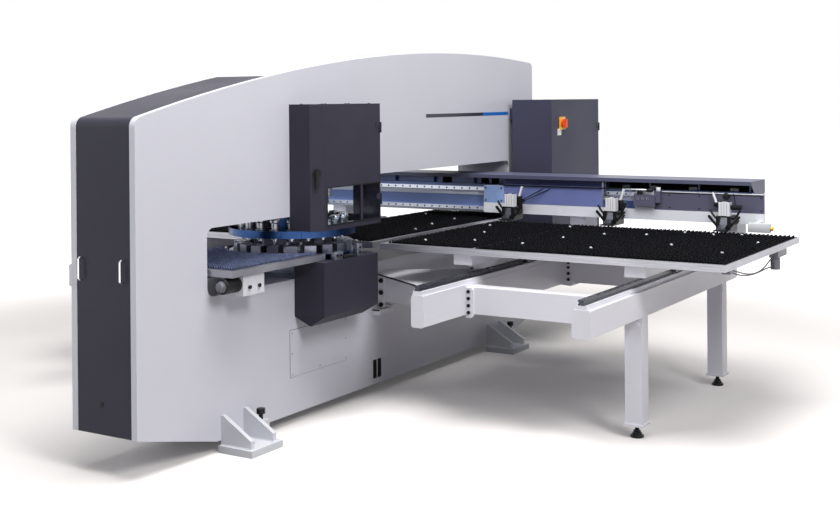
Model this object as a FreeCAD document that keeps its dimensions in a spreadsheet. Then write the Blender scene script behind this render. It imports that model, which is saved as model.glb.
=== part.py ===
import FreeCAD, Part
import math
import os

import Sketcher

# A turret punch press for sheet metal. X runs across the machine (right wing table at +X), Y from the
# front end to the rear, Z up. The origin is on the floor, at the centre of the four anchor holes of the
# frame feet. All sizes are in millimetres and are kept in the sheet below.

os.makedirs("parts", exist_ok=True)

DIMENSIONS = [
    # frame
    ("front_reach", 2066, "front end of the side plates ahead of the origin"),
    ("rear_reach", 2024, "rear end of the side plates behind the origin"),
    ("frame_width", 420, "over both side plates"),
    ("plate_thick", 35, "side plate"),
    ("ground_gap", 57, "flat underside of the side plates above the floor"),
    ("front_toe_height", 190, "underside at the front end"),
    ("front_toe_run", 550, "length of the rising underside at the front"),
    ("rear_toe_height", 160, "underside at the rear end"),
    ("rear_toe_run", 440, "length of the rising underside at the rear"),
    ("arch_radius", 12500, "arched top of the side plates"),
    ("arch_top", 2047, "highest point of the arch"),
    ("arch_back", 984, "highest point of the arch behind the origin"),
    ("front_round", 50, "rounded top front corner"),
    ("rear_round", 35, "rounded top rear corner"),
    ("core_inset", 60, "core behind the outline of the side plates"),
    # throat
    ("throat_front", 1580, "front jamb of the throat ahead of the origin"),
    ("throat_rear", 1641, "rear jamb of the throat behind the origin"),
    ("throat_floor", 780, "floor of the throat"),
    ("throat_front_roof", 1120, "roof of the throat ahead of the turrets"),
    ("throat_roof", 1303, "roof of the throat over the turrets and behind them"),
    ("throat_step", 906, "step of the roof ahead of the origin"),
    ("throat_round", 45, "corner radius of the throat"),
    # covers of the frame
    ("cover_recess", 3, "covers below the edge of the side plates"),
    ("cover_sheet", 4, "thickness of the frame covers"),
    ("cover_split", 1046, "split of the top covers ahead of the origin"),
    ("rear_turn", 80, "length of the rear cover on the top"),
    ("pull_height", 963, "centre of the pull handles above the floor"),
    ("pull_length", 112, "length of a pull handle"),
    ("pull_spacing", 270, "between the two pull handles"),
    ("pull_reach", 30, "pull handle in front of the cover"),
    ("pull_rod", 5, "radius of the pull handle's rod"),
    ("panel_front", 924, "front edge of the access panel ahead of the origin"),
    ("panel_length", 530, "length of the access panel"),
    ("panel_bottom", 256, "lower edge of the access panel"),
    ("panel_height", 252, "height of the access panel"),
    ("panel_thick", 3, "thickness of the access panel"),
    # feet
    ("foot_spacing", 2776, "between the centres of front and rear feet"),
    ("foot_length", 242, "foot along the frame"),
    ("foot_reach", 215, "foot beyond the side plate"),
    ("foot_plate", 35, "base plate of the foot"),
    ("gusset_thick", 26, "gusset of the foot"),
    ("gusset_height", 180, "gusset at the side plate"),
    ("gusset_toe", 75, "gusset at its outer end"),
    ("gusset_run", 190, "gusset beyond the side plate"),
    ("gusset_spacing", 174, "between the two gussets"),
    ("anchor_bore", 13, "radius of the anchor hole"),
    ("anchor_reach", 120, "anchor hole beyond the side plate"),
    ("lug_reach", 92, "levelling lug beyond the side plate"),
    ("lug_length", 84, "levelling lug along the frame"),
    ("lug_bottom", 80, "underside of the levelling lug"),
    ("lug_thick", 35, "thickness of the levelling lug"),
    ("level_bolt", 12, "radius of the levelling bolt"),
    ("level_head", 24, "half width over the corners of the bolt head"),
    ("level_head_base", 143, "underside of the bolt head"),
    ("level_head_high", 26, "height of the bolt head"),
    # turrets
    ("turret_ahead", 617, "turret axis ahead of the origin"),
    ("turret_radius", 361, "rim of both turrets"),
    ("upper_bottom", 1000, "underside of the upper turret"),
    ("upper_thick", 40, "upper turret at the rim"),
    ("lower_top", 908, "top face of the lower turret"),
    ("lower_thick", 24, "lower turret at the rim"),
    ("station_count", 20, "stations in each turret"),
    ("station_circle", 290, "radius of the circle of stations"),
    ("station_bore", 24, "radius of a station bore"),
    ("hub_radius", 112, "hub of the turrets"),
    ("hub_high", 62, "hub above the upper turret's disc"),
    ("hub_gap", 0.5, "hubs from the races of their spindles"),
    ("spindle_radius", 60, "spindle of both turrets"),
    ("running_gap", 0.05, "radial clearance of running fits"),
    ("collar_radius", 120, "half width of the spindles' square flanges"),
    ("collar_high", 40, "thickness of the spindles' flanges"),
    ("sheet_plane", 955, "working height of the sheet, top of the dies"),
    ("tool_nose", 978, "lower end of the punch tools"),
    ("tool_top", 1105, "top of the punch tools"),
    ("tool_head", 30, "radius of the tool head"),
    ("tool_head_high", 22, "height of the tool head"),
    ("die_length", 84, "die block along the turret's radius"),
    ("die_width", 66, "die block across"),
    ("die_bore", 12, "half width of the die's opening"),
    ("ram_radius", 55, "ram"),
    ("ram_bottom", 1143, "lower end of the raised ram"),
    ("striker_high", 40, "striker below the ram"),
    ("striker_radius", 34, "striker over its corners"),
    ("ram_top", 1600, "upper end of the raised ram"),
    ("ram_bore_top", 1640, "end of the ram's bore in the core"),
    ("ram_collar", 85, "half width of the ram guide"),
    ("ram_collar_high", 45, "height of the ram guide"),
    # covers of the turrets
    ("head_front", 916, "front of the head cover ahead of the origin"),
    ("head_length", 600, "head cover along the frame"),
    ("head_reach", 190, "head cover beyond the side plate"),
    ("head_bottom", 1045, "lower edge of the head cover"),
    ("head_top", 1725, "top of the head cover"),
    ("head_chamfer", 55, "chamfer at the front outer corner"),
    ("cover_wall", 3, "wall of the turret covers"),
    ("door_gap", 0.5, "gap round the doors"),
    ("window_front", 831, "front edge of the window ahead of the origin"),
    ("window_length", 500, "length of the window"),
    ("window_bottom", 1077, "lower edge of the window"),
    ("window_height", 196, "height of the window"),
    ("window_bar", 506, "bar in the window ahead of the origin"),
    ("window_bar_wide", 22, "width of the bar"),
    ("pane_thick", 4, "window pane"),
    ("pane_lap", 12, "pane over the edge of the window"),
    ("knuckle_radius", 5, "hinge knuckles"),
    ("knuckle_length", 60, "length of a hinge knuckle"),
    ("latch_height", 1357, "pivot of the latch handle above the floor"),
    ("latch_radius", 22, "rose of the latch handle"),
    ("latch_length", 92, "latch handle"),
    ("latch_width", 17, "width and depth of the latch handle"),
    ("latch_rose_thick", 12, "rose of the latch handle"),
    ("apron_front", 881, "front of the lower turret covers ahead of the origin"),
    ("apron_length", 515, "lower turret covers along the frame"),
    ("apron_reach", 200, "lower turret covers beyond the side plate"),
    ("apron_top", 880, "top of the lower turret covers"),
    ("apron_bend", 590, "lower edge of the upright faces"),
    ("apron_bottom", 529, "lowest line of the lower turret covers"),
    ("apron_bevel", 105, "lowest line inward of the outer face"),
    ("apron_root", 577, "underside of the covers at the side plate"),
    ("apron_toe", 16, "lowest line behind the front face"),
    # fixed tables in the throat
    ("centre_table_width", 720, "fixed tables across"),
    ("front_table_front", 1566, "front edge of the front table ahead of the origin"),
    ("front_table_rear", 800, "rear edge of the front table ahead of the origin"),
    ("rear_table_front", 346, "front edge of the rear table ahead of the origin"),
    ("rear_table_rear", 1534, "rear edge of the rear table behind the origin"),
    ("front_table_drop", 15, "front table below the other tables"),
    ("turret_clearance", 14, "tables from the rim of the turrets"),
    ("table_bottom", 898, "underside of the tables"),
    ("table_top", 932, "top of the aluminium edges"),
    ("table_edge", 30, "width of the aluminium edges"),
    ("table_floor", 8, "floor under the brushes"),
    ("brush_top", 946, "tips of the brushes"),
    ("brush_base", 926, "top of the brush backing"),
    ("brush_pitch", 60, "between the brush strips"),
    ("brush_row", 46, "width of a brush strip"),
    ("bracket_front", 1470, "front of the table bracket ahead of the origin"),
    ("bracket_length", 165, "table bracket along the frame"),
    ("bracket_reach", 135, "table bracket beyond the side plate"),
    ("bracket_plate", 10, "plate of the bracket"),
    ("bracket_shift", 2650, "from the front to the rear brackets"),
    # side supports
    ("beam_inner", 1000, "centre of the inner support beams from the mid-plane"),
    ("beam_outer", 1900, "centre of the outer support beam on the right"),
    ("beam_outer_left", 1460, "centre of the outer support beam on the left"),
    ("beam_front", 895, "front end of the support beams ahead of the origin"),
    ("beam_length", 2240, "length of the support beams"),
    ("inner_width", 68, "inner support beams"),
    ("outer_width", 92, "outer support beams"),
    ("inner_bottom", 594, "underside of the inner support beams"),
    ("outer_bottom", 622, "underside of the outer support beams"),
    ("beam_shoulder", 753, "shoulder of the support beams"),
    ("ledge_width", 56, "ledge on the support beams"),
    ("ledge_top", 776, "top of the ledge"),
    ("cap_lip", 3, "end cap round the beam"),
    ("rail_width", 34, "table rails"),
    ("rail_waist", 4, "waist of the table rails, each side"),
    ("rail_top", 802, "top of the table rails"),
    ("cross_width", 100, "cross beams"),
    ("cross_bottom", 598, "underside of the cross beams"),
    ("cross_height", 142, "height of the cross beams"),
    ("cross_front", 396, "front cross beams ahead of the origin"),
    ("cross_rear", 874, "rear cross beams behind the origin"),
    ("stub_front", 10, "front stub beam ahead of the origin"),
    ("stub_rear", 1100, "rear stub beam behind the origin"),
    ("stub_bottom", 540, "underside of the stub beams"),
    ("stub_height", 165, "height of the stub beams"),
    ("stub_plate", 10, "flared plate on the front stub beams"),
    ("stub_root", 27, "flared plate beyond the stub beam at the side plate"),
    ("stub_flare", 474, "further spread of the plate at the support beam"),
    ("strip_thick", 14, "bolted strips of the cross beams"),
    ("strip_width", 46, "bolted strips across"),
    ("strip_bevel", 12, "corners of the bolted strips"),
    ("cross_strip_drop", 20, "bolted strips below the cross beams"),
    ("stub_strip_drop", 37, "bolted strips below the stub beams"),
    ("leg_width", 92, "square tube of the legs"),
    ("leg_front", 210, "front legs ahead of the origin"),
    ("leg_rear", 1100, "rear legs behind the origin"),
    ("leg_bottom", 62, "underside of the legs"),
    ("leg_plate", 12, "foot plate of the legs"),
    ("leg_lap", 6, "foot plate beyond the leg"),
    ("leg_wall", 12, "front wall of the legs"),
    ("leg_shoulder", 50, "height of the sloped shoulders of the front wall"),
    ("leg_peak", 3, "half width of the front wall's point under the beam"),
    ("pad_radius", 35, "pad of the levelling feet"),
    ("pad_cone", 25, "cone on the pad"),
    ("pad_nut", 20, "nut of the levelling feet over its corners"),
    ("stem_radius", 11, "stem of the levelling feet"),
    ("pad_high", 36, "height of pad and nut"),
    # moving table
    ("wing_inner", 425, "inner edge of the wing tables from the mid-plane"),
    ("wing_outer", 2420, "outer edge of the right wing table"),
    ("wing_outer_left", 1980, "outer edge of the left wing table"),
    ("wing_front", 366, "front edge of the wing tables ahead of the origin"),
    ("wing_length", 1370, "wing tables front to rear"),
    ("wing_seam", 1010, "seam between the brush panels of a wing"),
    ("clamp_strip", 92, "strip without brushes under the clamps"),
    ("channel_width", 110, "channels under the wings"),
    ("channel_shift", 48, "channels beside the rails, away from the middle of the wing"),
    ("channel_bottom", 840, "underside of the channels"),
    ("channel_short", 10, "channels and their risers stop short of the carriage beam's faces"),
    ("channel_front", 346, "front end of the channels ahead of the origin"),
    ("block_length", 120, "bearing blocks on the table rails"),
    ("block_width", 70, "bearing blocks across"),
    ("block_skirt", 16, "bearing blocks beside the rail"),
    ("block_front", 350, "front bearing blocks behind the origin"),
    ("block_rear", 1094, "rear bearing blocks behind the origin"),
    ("carriage_front", 1170, "front face of the carriage beam"),
    ("carriage_depth", 204, "carriage beam front to rear"),
    ("carriage_half", 2115, "half length of the carriage beam"),
    ("carriage_bottom", 975, "underside of the carriage beam"),
    ("carriage_top", 1213, "top of the carriage beam"),
    ("carriage_notch", 60, "depth of the dark slot under the cover"),
    ("carriage_slot", 1166, "floor of the dark slot"),
    ("rib_pitch", 320, "between the ribs in the slot"),
    ("rib_thick", 10, "ribs in the slot"),
    ("hood_front", 1094, "front lip of the beam cover"),
    ("hood_top", 1236, "top of the beam cover"),
    ("hood_sheet", 4, "sheet of the beam cover"),
    ("hood_end", 85, "height of the cover's end plates"),
    ("hood_skirt", 40, "rear skirt of the cover above the beam's underside"),
    ("x_rail_low", 1003, "lower rail on the carriage beam"),
    ("x_rail_high", 1135, "upper rail on the carriage beam"),
    ("x_rail_wide", 24, "width of the rails on the carriage beam"),
    ("x_rail_short", 20, "rails on the carriage beam stop short of its ends"),
    ("x_rail_deep", 20, "depth of the rails on the carriage beam"),
    # workholder carriage
    ("bar_left", 290, "left end of the carriage bar at rest"),
    ("bar_over", 71, "carriage bar beyond the right end of the beam at rest"),
    ("bar_thick", 22, "carriage bar front to rear"),
    ("bar_stand_off", 14, "carriage bar from the rails"),
    ("bar_bottom", 980, "underside of the carriage bar"),
    ("bar_top", 1045, "top of the carriage bar"),
    ("panel_top", 1162, "top of the dark panel"),
    ("panel_recess", 4, "panel and plates behind the face of the bar"),
    ("panel_lap", 14, "panel behind the end of the valve block"),
    ("valve_left", 1375, "left end of the valve block"),
    ("valve_length", 139, "valve block along the carriage"),
    ("valve_deep", 30, "valve block front to rear"),
    ("valve_bottom", 1066, "underside of the valve block"),
    ("valve_top", 1137, "top of the valve block"),
    ("valve_bracket", 32, "bracket beside the valve block"),
    ("bracket_deep", 20, "bracket beside the valve block front to rear"),
    ("bracket_bottom", 1089, "underside of the bracket beside the valve block"),
    ("end_plate_length", 150, "light plate at the left end of the carriage"),
    ("shoe_length", 110, "bearing shoes of the carriage"),
    ("shoe_inset", 75, "end shoes from the ends of the bar"),
    ("shoe_lip", 10, "bearing shoes round the rails"),
    ("clamp_first", 540, "first clamp from the mid-plane"),
    ("clamp_second", 1255, "second clamp from the mid-plane"),
    ("clamp_third", 1980, "third clamp from the mid-plane"),
    ("clamp_width", 90, "clamp body"),
    ("clamp_tip", 934, "front tip of the clamps"),
    ("clamp_base", 1040, "front of the clamp's solid base"),
    ("cheek_front", 985, "front of the clamp's cheeks"),
    ("cheek_width", 22, "cheek of the clamp"),
    ("jaw_bottom", 948, "underside of the lower jaw"),
    ("jaw_opening", 1.5, "closed jaws apart"),
    ("jaw_side_gap", 0.5, "upper jaw beside the cheeks"),
    ("jaw_tip_high", 12, "upper jaw at its tip"),
    ("pivot_back", 1015, "jaw pivot behind the origin"),
    ("pivot_rise", 35, "jaw pivot above the sheet plane"),
    ("pivot_radius", 8, "pin of the jaw pivot"),
    ("pivot_cover", 45, "top of the clamp body above the jaw pivot"),
    ("jaw_head", 36, "top of the upper jaw above its pivot"),
    ("jaw_eye", 15, "upper jaw behind its pivot"),
    ("cylinder_width", 66, "cylinder block across"),
    ("cylinder_front", 1002, "front of the cylinder block"),
    ("cylinder_depth", 45, "cylinder block front to rear"),
    ("cylinder_high", 82, "cylinder block"),
    ("arm_reach", 52, "side arms beyond the clamp body"),
    ("arm_thick", 12, "side arms"),
    ("arm_back", 22, "side arms behind the front of the cheeks"),
    ("arm_root", 18, "height of the side arms where they leave the clamp body"),
    ("arm_tip", 10, "flat end of the side arms"),
    ("arm_over", 2, "side arms above the clamp body"),
    # cabinet
    ("cabinet_inner", 260, "inner wall of the cabinet from the mid-plane"),
    ("cabinet_depth", 304, "cabinet body across"),
    ("cabinet_front", 1604, "front of the cabinet behind the origin"),
    ("cabinet_length", 820, "cabinet front to rear"),
    ("cabinet_bottom", 700, "underside of the cabinet"),
    ("cabinet_top", 1736, "top of the cabinet"),
    ("cabinet_wall", 3, "walls of the cabinet"),
    ("cabinet_flange", 24, "flange round the cabinet's opening"),
    ("cabinet_bracket", 80, "height of the cabinet's brackets"),
    ("bracket_inset", 60, "cabinet's brackets from its front and its floor"),
    ("leaf_length", 40, "hinge leaves"),
    ("leaf_thick", 2.5, "hinge leaves"),
    ("switch_back", 1774, "main switch behind the origin"),
    ("switch_height", 1567, "main switch above the floor"),
    ("switch_plate_side", 92, "switch plate"),
    ("switch_plate_thick", 6, "switch plate"),
    ("switch_radius", 31, "disc of the switch handle"),
    ("switch_disc_thick", 14, "disc of the switch handle"),
    ("switch_grip", 20, "width and depth of the grip of the switch handle"),
    # sensor at the right rear corner
    ("sensor_back", 560, "front of the sensor bracket behind the origin"),
    ("sensor_length", 176, "sensor bracket front to rear"),
    ("sensor_width", 50, "sensor bracket across"),
    ("sensor_high", 36, "sensor bracket below the table"),
    ("sensor_radius", 26, "sensor cylinder"),
    ("sensor_drop", 66, "sensor cylinder below its bracket"),
    ("cable_radius", 3.5, "sensor cables"),
    ("gland_width", 14, "gland of the lower cable"),
    ("clip_width", 22, "cable clip inward of the upper cable"),
    ("clip_length", 30, "cable clip front to rear"),
    ("clip_high", 18, "cable clip below the table"),
]

# Sides of pieces that repeat, kept low so that the whole machine stays light to draw.
STATION_SIDES = 8
ROUND_SIDES = 8
HEXAGON = 6
DISC_SIDES = 12

doc = FreeCAD.newDocument("turret_punch_press")
sheet = doc.addObject("Spreadsheet::Sheet", "dims")
for row, (alias, value, note) in enumerate(DIMENSIONS, start=1):
    sheet.set(f"A{row}", alias)
    sheet.set(f"B{row}", str(value))
    sheet.set(f"C{row}", note)
    sheet.setAlias(f"B{row}", alias)
doc.recompute()


class Size:
    """A length: its value now, and the sheet expression that gives it again after a change."""

    def __init__(self, value, text):
        self.value = float(value)
        self.text = text

    def __add__(self, other):
        other = as_size(other)
        return Size(self.value + other.value, f"({self.text} + {other.text})")

    def __radd__(self, other):
        return as_size(other) + self

    def __sub__(self, other):
        other = as_size(other)
        return Size(self.value - other.value, f"({self.text} - {other.text})")

    def __rsub__(self, other):
        return as_size(other) - self

    def __mul__(self, other):
        other = as_size(other)
        return Size(self.value * other.value, f"({self.text} * {other.text})")

    def __rmul__(self, other):
        return as_size(other) * self

    def __truediv__(self, other):
        other = as_size(other)
        return Size(self.value / other.value, f"({self.text} / {other.text})")

    def __neg__(self):
        return Size(-self.value, f"(0 - {self.text})")


def as_size(number):
    """Turn a plain number into a Size, and leave a Size as it is."""
    if isinstance(number, Size):
        return number
    return Size(number, repr(float(number)))


def root(size):
    """Square root of a Size."""
    return Size(math.sqrt(size.value), f"sqrt({size.text})")


class Dimensions:
    """The sheet's aliases as Size objects: d.plate_thick and so on."""

    def __init__(self, rows):
        for alias, value, _note in rows:
            setattr(self, alias, Size(value, f"dims.{alias}"))


d = Dimensions(DIMENSIONS)
NODES = {}


def keep(piece):
    """Keep a finished sub-part under its Label, which also names its file."""
    NODES[piece.Label] = piece
    return piece


# --- sketches and features -------------------------------------------------------------------------

class Piece:
    """A PartDesign body with short calls for the features used on this machine."""

    def __init__(self, label):
        self.body = doc.addObject("PartDesign::Body", label)
        self.body.Label = label
        self.label = label
        self.count = 0

    def _name(self, kind):
        self.count += 1
        return f"{self.label}_{kind}_{self.count}"

    def sketch(self, role, offset=0):
        """A sketch on one of the body's origin planes, moved along the plane's normal."""
        made = self.body.newObject("Sketcher::SketchObject", self._name("sketch"))
        plane = next(f for f in self.body.Origin.OriginFeatures if f.Role == role)
        made.AttachmentSupport = [(plane, "")]
        made.MapMode = "FlatFace"
        made.setExpression("AttachmentOffset.Base.z", as_size(offset).text)
        return made

    def pad(self, sketch, length, reversed_side=False):
        """Extrude a sketch along its plane's normal, or the other way."""
        pad = self.body.newObject("PartDesign::Pad", self._name("pad"))
        pad.Profile = sketch
        pad.setExpression("Length", as_size(length).text)
        pad.Reversed = reversed_side
        sketch.Visibility = False
        return pad

    def pocket(self, sketch, length, reversed_side=False):
        """Cut a sketch into the body, against its plane's normal or, reversed, along it."""
        pocket = self.body.newObject("PartDesign::Pocket", self._name("pocket"))
        pocket.Profile = sketch
        pocket.setExpression("Length", as_size(length).text)
        pocket.Reversed = reversed_side
        sketch.Visibility = False
        return pocket

    def revolve(self, sketch):
        """Turn a sketch a full round about its vertical axis."""
        turned = self.body.newObject("PartDesign::Revolution", self._name("revolution"))
        turned.Profile = sketch
        turned.ReferenceAxis = (sketch, ["V_Axis"])
        turned.Angle = 360
        sketch.Visibility = False
        return turned

    def polar(self, feature, sketch, count):
        """Repeat a feature round the vertical axis of the body's origin."""
        pattern = self.body.newObject("PartDesign::PolarPattern", self._name("polar"))
        pattern.Originals = [feature]
        pattern.Axis = (sketch, ["N_Axis"])
        pattern.Angle = 360
        pattern.setExpression("Occurrences", count.text)
        self.body.Tip = pattern
        return pattern

    def move(self, x=0, y=0, z=0):
        """Place the body, bound to the sheet."""
        place(self.body, x, y, z)
        return self

    def done(self):
        """Keep the body as a node."""
        return keep(self.body)


def place(thing, x=0, y=0, z=0):
    """Bind an object's place to the sheet."""
    thing.setExpression("Placement.Base.x", as_size(x).text)
    thing.setExpression("Placement.Base.y", as_size(y).text)
    thing.setExpression("Placement.Base.z", as_size(z).text)
    return thing


def arc_centre(start, end, radius):
    """Centre of an arc from start to end; a positive radius runs anticlockwise, a negative one clockwise."""
    across, up = end[0] - start[0], end[1] - start[1]
    chord = math.hypot(across, up)
    rise = math.copysign(math.sqrt(radius * radius - chord * chord / 4), radius)
    return (
        (start[0] + end[0]) / 2 - up / chord * rise,
        (start[1] + end[1]) / 2 + across / chord * rise,
    )


def outline(sketch, corners, arcs=None):
    """Draw a closed outline whose corners are bound to the sheet.

    arcs maps the index of a corner to the radius of the arc that runs from it to the next corner.
    """
    arcs = arcs or {}
    corners = [(as_size(u), as_size(v)) for u, v in corners]
    total = len(corners)
    ends = []
    for index, corner in enumerate(corners):
        following = corners[(index + 1) % total]
        start = (corner[0].value, corner[1].value)
        end = (following[0].value, following[1].value)
        if index not in arcs:
            line = Part.LineSegment(FreeCAD.Vector(*start, 0), FreeCAD.Vector(*end, 0))
            ends.append((sketch.addGeometry(line), 1, 2))
            continue
        radius = as_size(arcs[index])
        centre = arc_centre(start, end, radius.value)
        circle = Part.Circle(FreeCAD.Vector(*centre, 0), FreeCAD.Vector(0, 0, 1), abs(radius.value))
        angles = [math.atan2(p[1] - centre[1], p[0] - centre[0]) for p in (start, end)]
        forward = radius.value > 0
        if not forward:
            angles.reverse()
        geometry = sketch.addGeometry(Part.ArcOfCircle(circle, *angles))
        ends.append((geometry, 1, 2) if forward else (geometry, 2, 1))
        size = radius if forward else -radius
        bound = sketch.addConstraint(Sketcher.Constraint("Radius", geometry, size.value))
        sketch.setExpression(f"Constraints[{bound}]", size.text)
    for index in range(total):
        this_end = ends[index]
        next_start = ends[(index + 1) % total]
        sketch.addConstraint(
            Sketcher.Constraint("Coincident", this_end[0], this_end[2], next_start[0], next_start[1])
        )
    for (geometry, start_end, _), corner in zip(ends, corners):
        for kind, size in (("DistanceX", corner[0]), ("DistanceY", corner[1])):
            bound = sketch.addConstraint(
                Sketcher.Constraint(kind, -1, 1, geometry, start_end, size.value)
            )
            sketch.setExpression(f"Constraints[{bound}]", size.text)
    return sketch


def rectangle(sketch, left, right, low, high):
    """Draw a rectangle between four bound lines."""
    return outline(sketch, [(left, low), (right, low), (right, high), (left, high)])


def round_outline(sketch, across, up, radius):
    """Draw a circle with a bound centre and radius."""
    across, up, radius = as_size(across), as_size(up), as_size(radius)
    centre = FreeCAD.Vector(across.value, up.value, 0)
    circle = sketch.addGeometry(Part.Circle(centre, FreeCAD.Vector(0, 0, 1), radius.value))
    for kind, size in (("DistanceX", across), ("DistanceY", up)):
        bound = sketch.addConstraint(Sketcher.Constraint(kind, -1, 1, circle, 3, size.value))
        sketch.setExpression(f"Constraints[{bound}]", size.text)
    bound = sketch.addConstraint(Sketcher.Constraint("Radius", circle, radius.value))
    sketch.setExpression(f"Constraints[{bound}]", radius.text)
    return sketch


# --- primitives and booleans -----------------------------------------------------------------------

def block(label, x, y, z):
    """A box between pairs of bound planes."""
    box = doc.addObject("Part::Box", label)
    box.Label = label
    for name, (low, high) in zip(("Length", "Width", "Height"), (x, y, z)):
        box.setExpression(name, (as_size(high) - as_size(low)).text)
    return place(box, x[0], y[0], z[0])


def rod(label, x, y, z, radius):
    """An upright cylinder between two bound heights."""
    cylinder = doc.addObject("Part::Cylinder", label)
    cylinder.Label = label
    cylinder.setExpression("Radius", as_size(radius).text)
    cylinder.setExpression("Height", (as_size(z[1]) - as_size(z[0])).text)
    return place(cylinder, x, y, z[0])


def prism(label, x, y, z, radius, sides):
    """An upright prism of so many sides between two bound heights; radius is over its corners."""
    made = doc.addObject("Part::Prism", label)
    made.Label = label
    made.Polygon = int(sides)
    made.setExpression("Circumradius", as_size(radius).text)
    made.setExpression("Height", (as_size(z[1]) - as_size(z[0])).text)
    return place(made, x, y, z[0])


def fuse(label, parts):
    """Join solids into one."""
    made = doc.addObject("Part::MultiFuse", label)
    made.Label = label
    made.Shapes = parts
    made.Refine = True
    return made


def cut(label, base, tool):
    """Take one solid out of another."""
    made = doc.addObject("Part::Cut", label)
    made.Label = label
    made.Base = base
    made.Tool = tool
    made.Refine = True
    return made


def group(label, parts):
    """Several separate solids in one node."""
    made = doc.addObject("Part::Compound", label)
    made.Label = label
    made.Links = parts
    return made


def mirrored(label, source):
    """The same solid on the other side of the machine's mid-plane."""
    made = doc.addObject("Part::Mirroring", label)
    made.Label = label
    made.Source = source
    made.Normal = FreeCAD.Vector(1, 0, 0)
    return made


# --- shared lines of the machine -------------------------------------------------------------------

half = d.frame_width / 2
inner_face = half - d.plate_thick
front_end = -d.front_reach
rear_end = d.rear_reach
turret_y = -d.turret_ahead
foot_y = d.foot_spacing / 2
punch_y = turret_y + d.station_circle


def arch_height(y, inset=0):
    """Height of the arch, or of a line inset from it, above a place along the frame."""
    radius = d.arch_radius - inset
    away = d.arch_back - y
    return d.arch_top - d.arch_radius + root(radius * radius - away * away)


def arch_corner(end_y, side, radius, inset):
    """Tangent points of the rounded corner between an end of the frame and its arch.

    side is -1 at the front end and 1 at the rear end. The corner's circle lies inside both lines, so its
    centre is on a circle of the arch's centre, smaller by the corner's radius.
    """
    outer = d.arch_radius - inset
    centre_y = end_y - side * radius
    away = d.arch_back - centre_y
    lift = root((outer - radius) * (outer - radius) - away * away)
    centre_z = d.arch_top - d.arch_radius + lift
    share = outer / (outer - radius)
    top_y = d.arch_back - away * share
    top_z = d.arch_top - d.arch_radius + lift * share
    return (end_y, centre_z), (top_y, top_z)


def throat_corners():
    """Outline of the throat: long window with a raised roof from the turrets to the rear."""
    front, rear = -d.throat_front, d.throat_rear
    step = -d.throat_step
    floor, low, high = d.throat_floor, d.throat_front_roof, d.throat_roof
    r = d.throat_round
    corners = [
        (front + r, floor), (rear - r, floor),
        (rear, floor + r), (rear, high - r),
        (rear - r, high), (step, high),
        (step, low), (front + r, low),
        (front, low - r), (front, floor + r),
    ]
    return corners, {1: r, 3: r, 7: r, 9: r}


# --- frame -----------------------------------------------------------------------------------------

def side_plate(label, side):
    """One side plate: flat ends with rising toes, arched top with rounded corners, and the throat."""
    piece = Piece(label)
    sketch = piece.sketch("YZ_Plane", inner_face if side > 0 else -half)
    front_low, front_high = arch_corner(front_end, -1, d.front_round, 0)
    rear_low, rear_high = arch_corner(rear_end, 1, d.rear_round, 0)
    corners = [
        (front_end, d.front_toe_height),
        (front_end + d.front_toe_run, d.ground_gap),
        (rear_end - d.rear_toe_run, d.ground_gap),
        (rear_end, d.rear_toe_height),
        rear_low, rear_high, front_high, front_low,
    ]
    outline(sketch, corners, {4: d.rear_round, 5: d.arch_radius, 6: d.front_round})
    outline(sketch, *throat_corners())
    piece.pad(sketch, d.plate_thick)
    piece.done()


def frame_core():
    """The welded core between the side plates, with the throat, the ram's bore and the guide under it."""
    piece = Piece("core_weldment")
    sketch = piece.sketch("YZ_Plane", -inner_face)
    front, rear = front_end + d.core_inset, rear_end - d.core_inset
    corners = [
        (front, d.front_toe_height + d.core_inset),
        (front_end + d.front_toe_run, d.ground_gap + d.cover_sheet),
        (rear_end - d.rear_toe_run, d.ground_gap + d.cover_sheet),
        (rear, d.rear_toe_height + d.core_inset),
        (rear, arch_height(rear, d.core_inset)),
        (front, arch_height(front, d.core_inset)),
    ]
    outline(sketch, corners, {4: d.arch_radius - d.core_inset})
    front_jamb, rear_jamb, step = -d.throat_front, d.throat_rear, -d.throat_step
    outline(sketch, [
        (front_jamb, d.throat_floor), (rear_jamb, d.throat_floor), (rear_jamb, d.throat_roof),
        (step, d.throat_roof), (step, d.throat_front_roof), (front_jamb, d.throat_front_roof),
    ])
    piece.pad(sketch, inner_face * 2)
    bore = piece.sketch("XY_Plane", d.throat_roof - 1)
    round_outline(bore, 0, punch_y, d.ram_radius + d.running_gap)
    piece.pocket(bore, d.ram_bore_top - d.throat_roof + 1, reversed_side=True)
    wide, low = d.ram_collar, d.throat_roof - d.ram_collar_high
    guide = cut(
        "ram_guide",
        block("ram_guide_block", (-wide, wide), (punch_y - wide, punch_y + wide), (low, d.throat_roof)),
        rod("ram_guide_bore", 0, punch_y, (low, d.throat_roof), d.ram_radius + d.running_gap),
    )
    keep(group("frame_core", [piece.body, guide]))


def end_cover(label, end_y, side, radius, turn_y, toe):
    """A folded cover: up one end of the frame, round its corner and on along the arch to turn_y."""
    piece = Piece(label)
    sketch = piece.sketch("YZ_Plane", -inner_face)
    skin, sheet_in = d.cover_recess, d.cover_recess + d.cover_sheet
    outer_low, outer_high = arch_corner(end_y - side * skin, side, radius - skin, skin)
    inner_low, inner_high = arch_corner(end_y - side * sheet_in, side, radius - sheet_in, sheet_in)
    corners = [
        (end_y - side * skin, toe), outer_low, outer_high,
        (turn_y, arch_height(turn_y, skin)), (turn_y, arch_height(turn_y, sheet_in)),
        inner_high, inner_low, (end_y - side * sheet_in, toe),
    ]
    arcs = {
        1: (radius - skin) * side,
        2: (d.arch_radius - skin) * side,
        4: (d.arch_radius - sheet_in) * -side,
        5: (radius - sheet_in) * -side,
    }
    outline(sketch, corners, arcs)
    piece.pad(sketch, inner_face * 2)
    piece.done()


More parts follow.
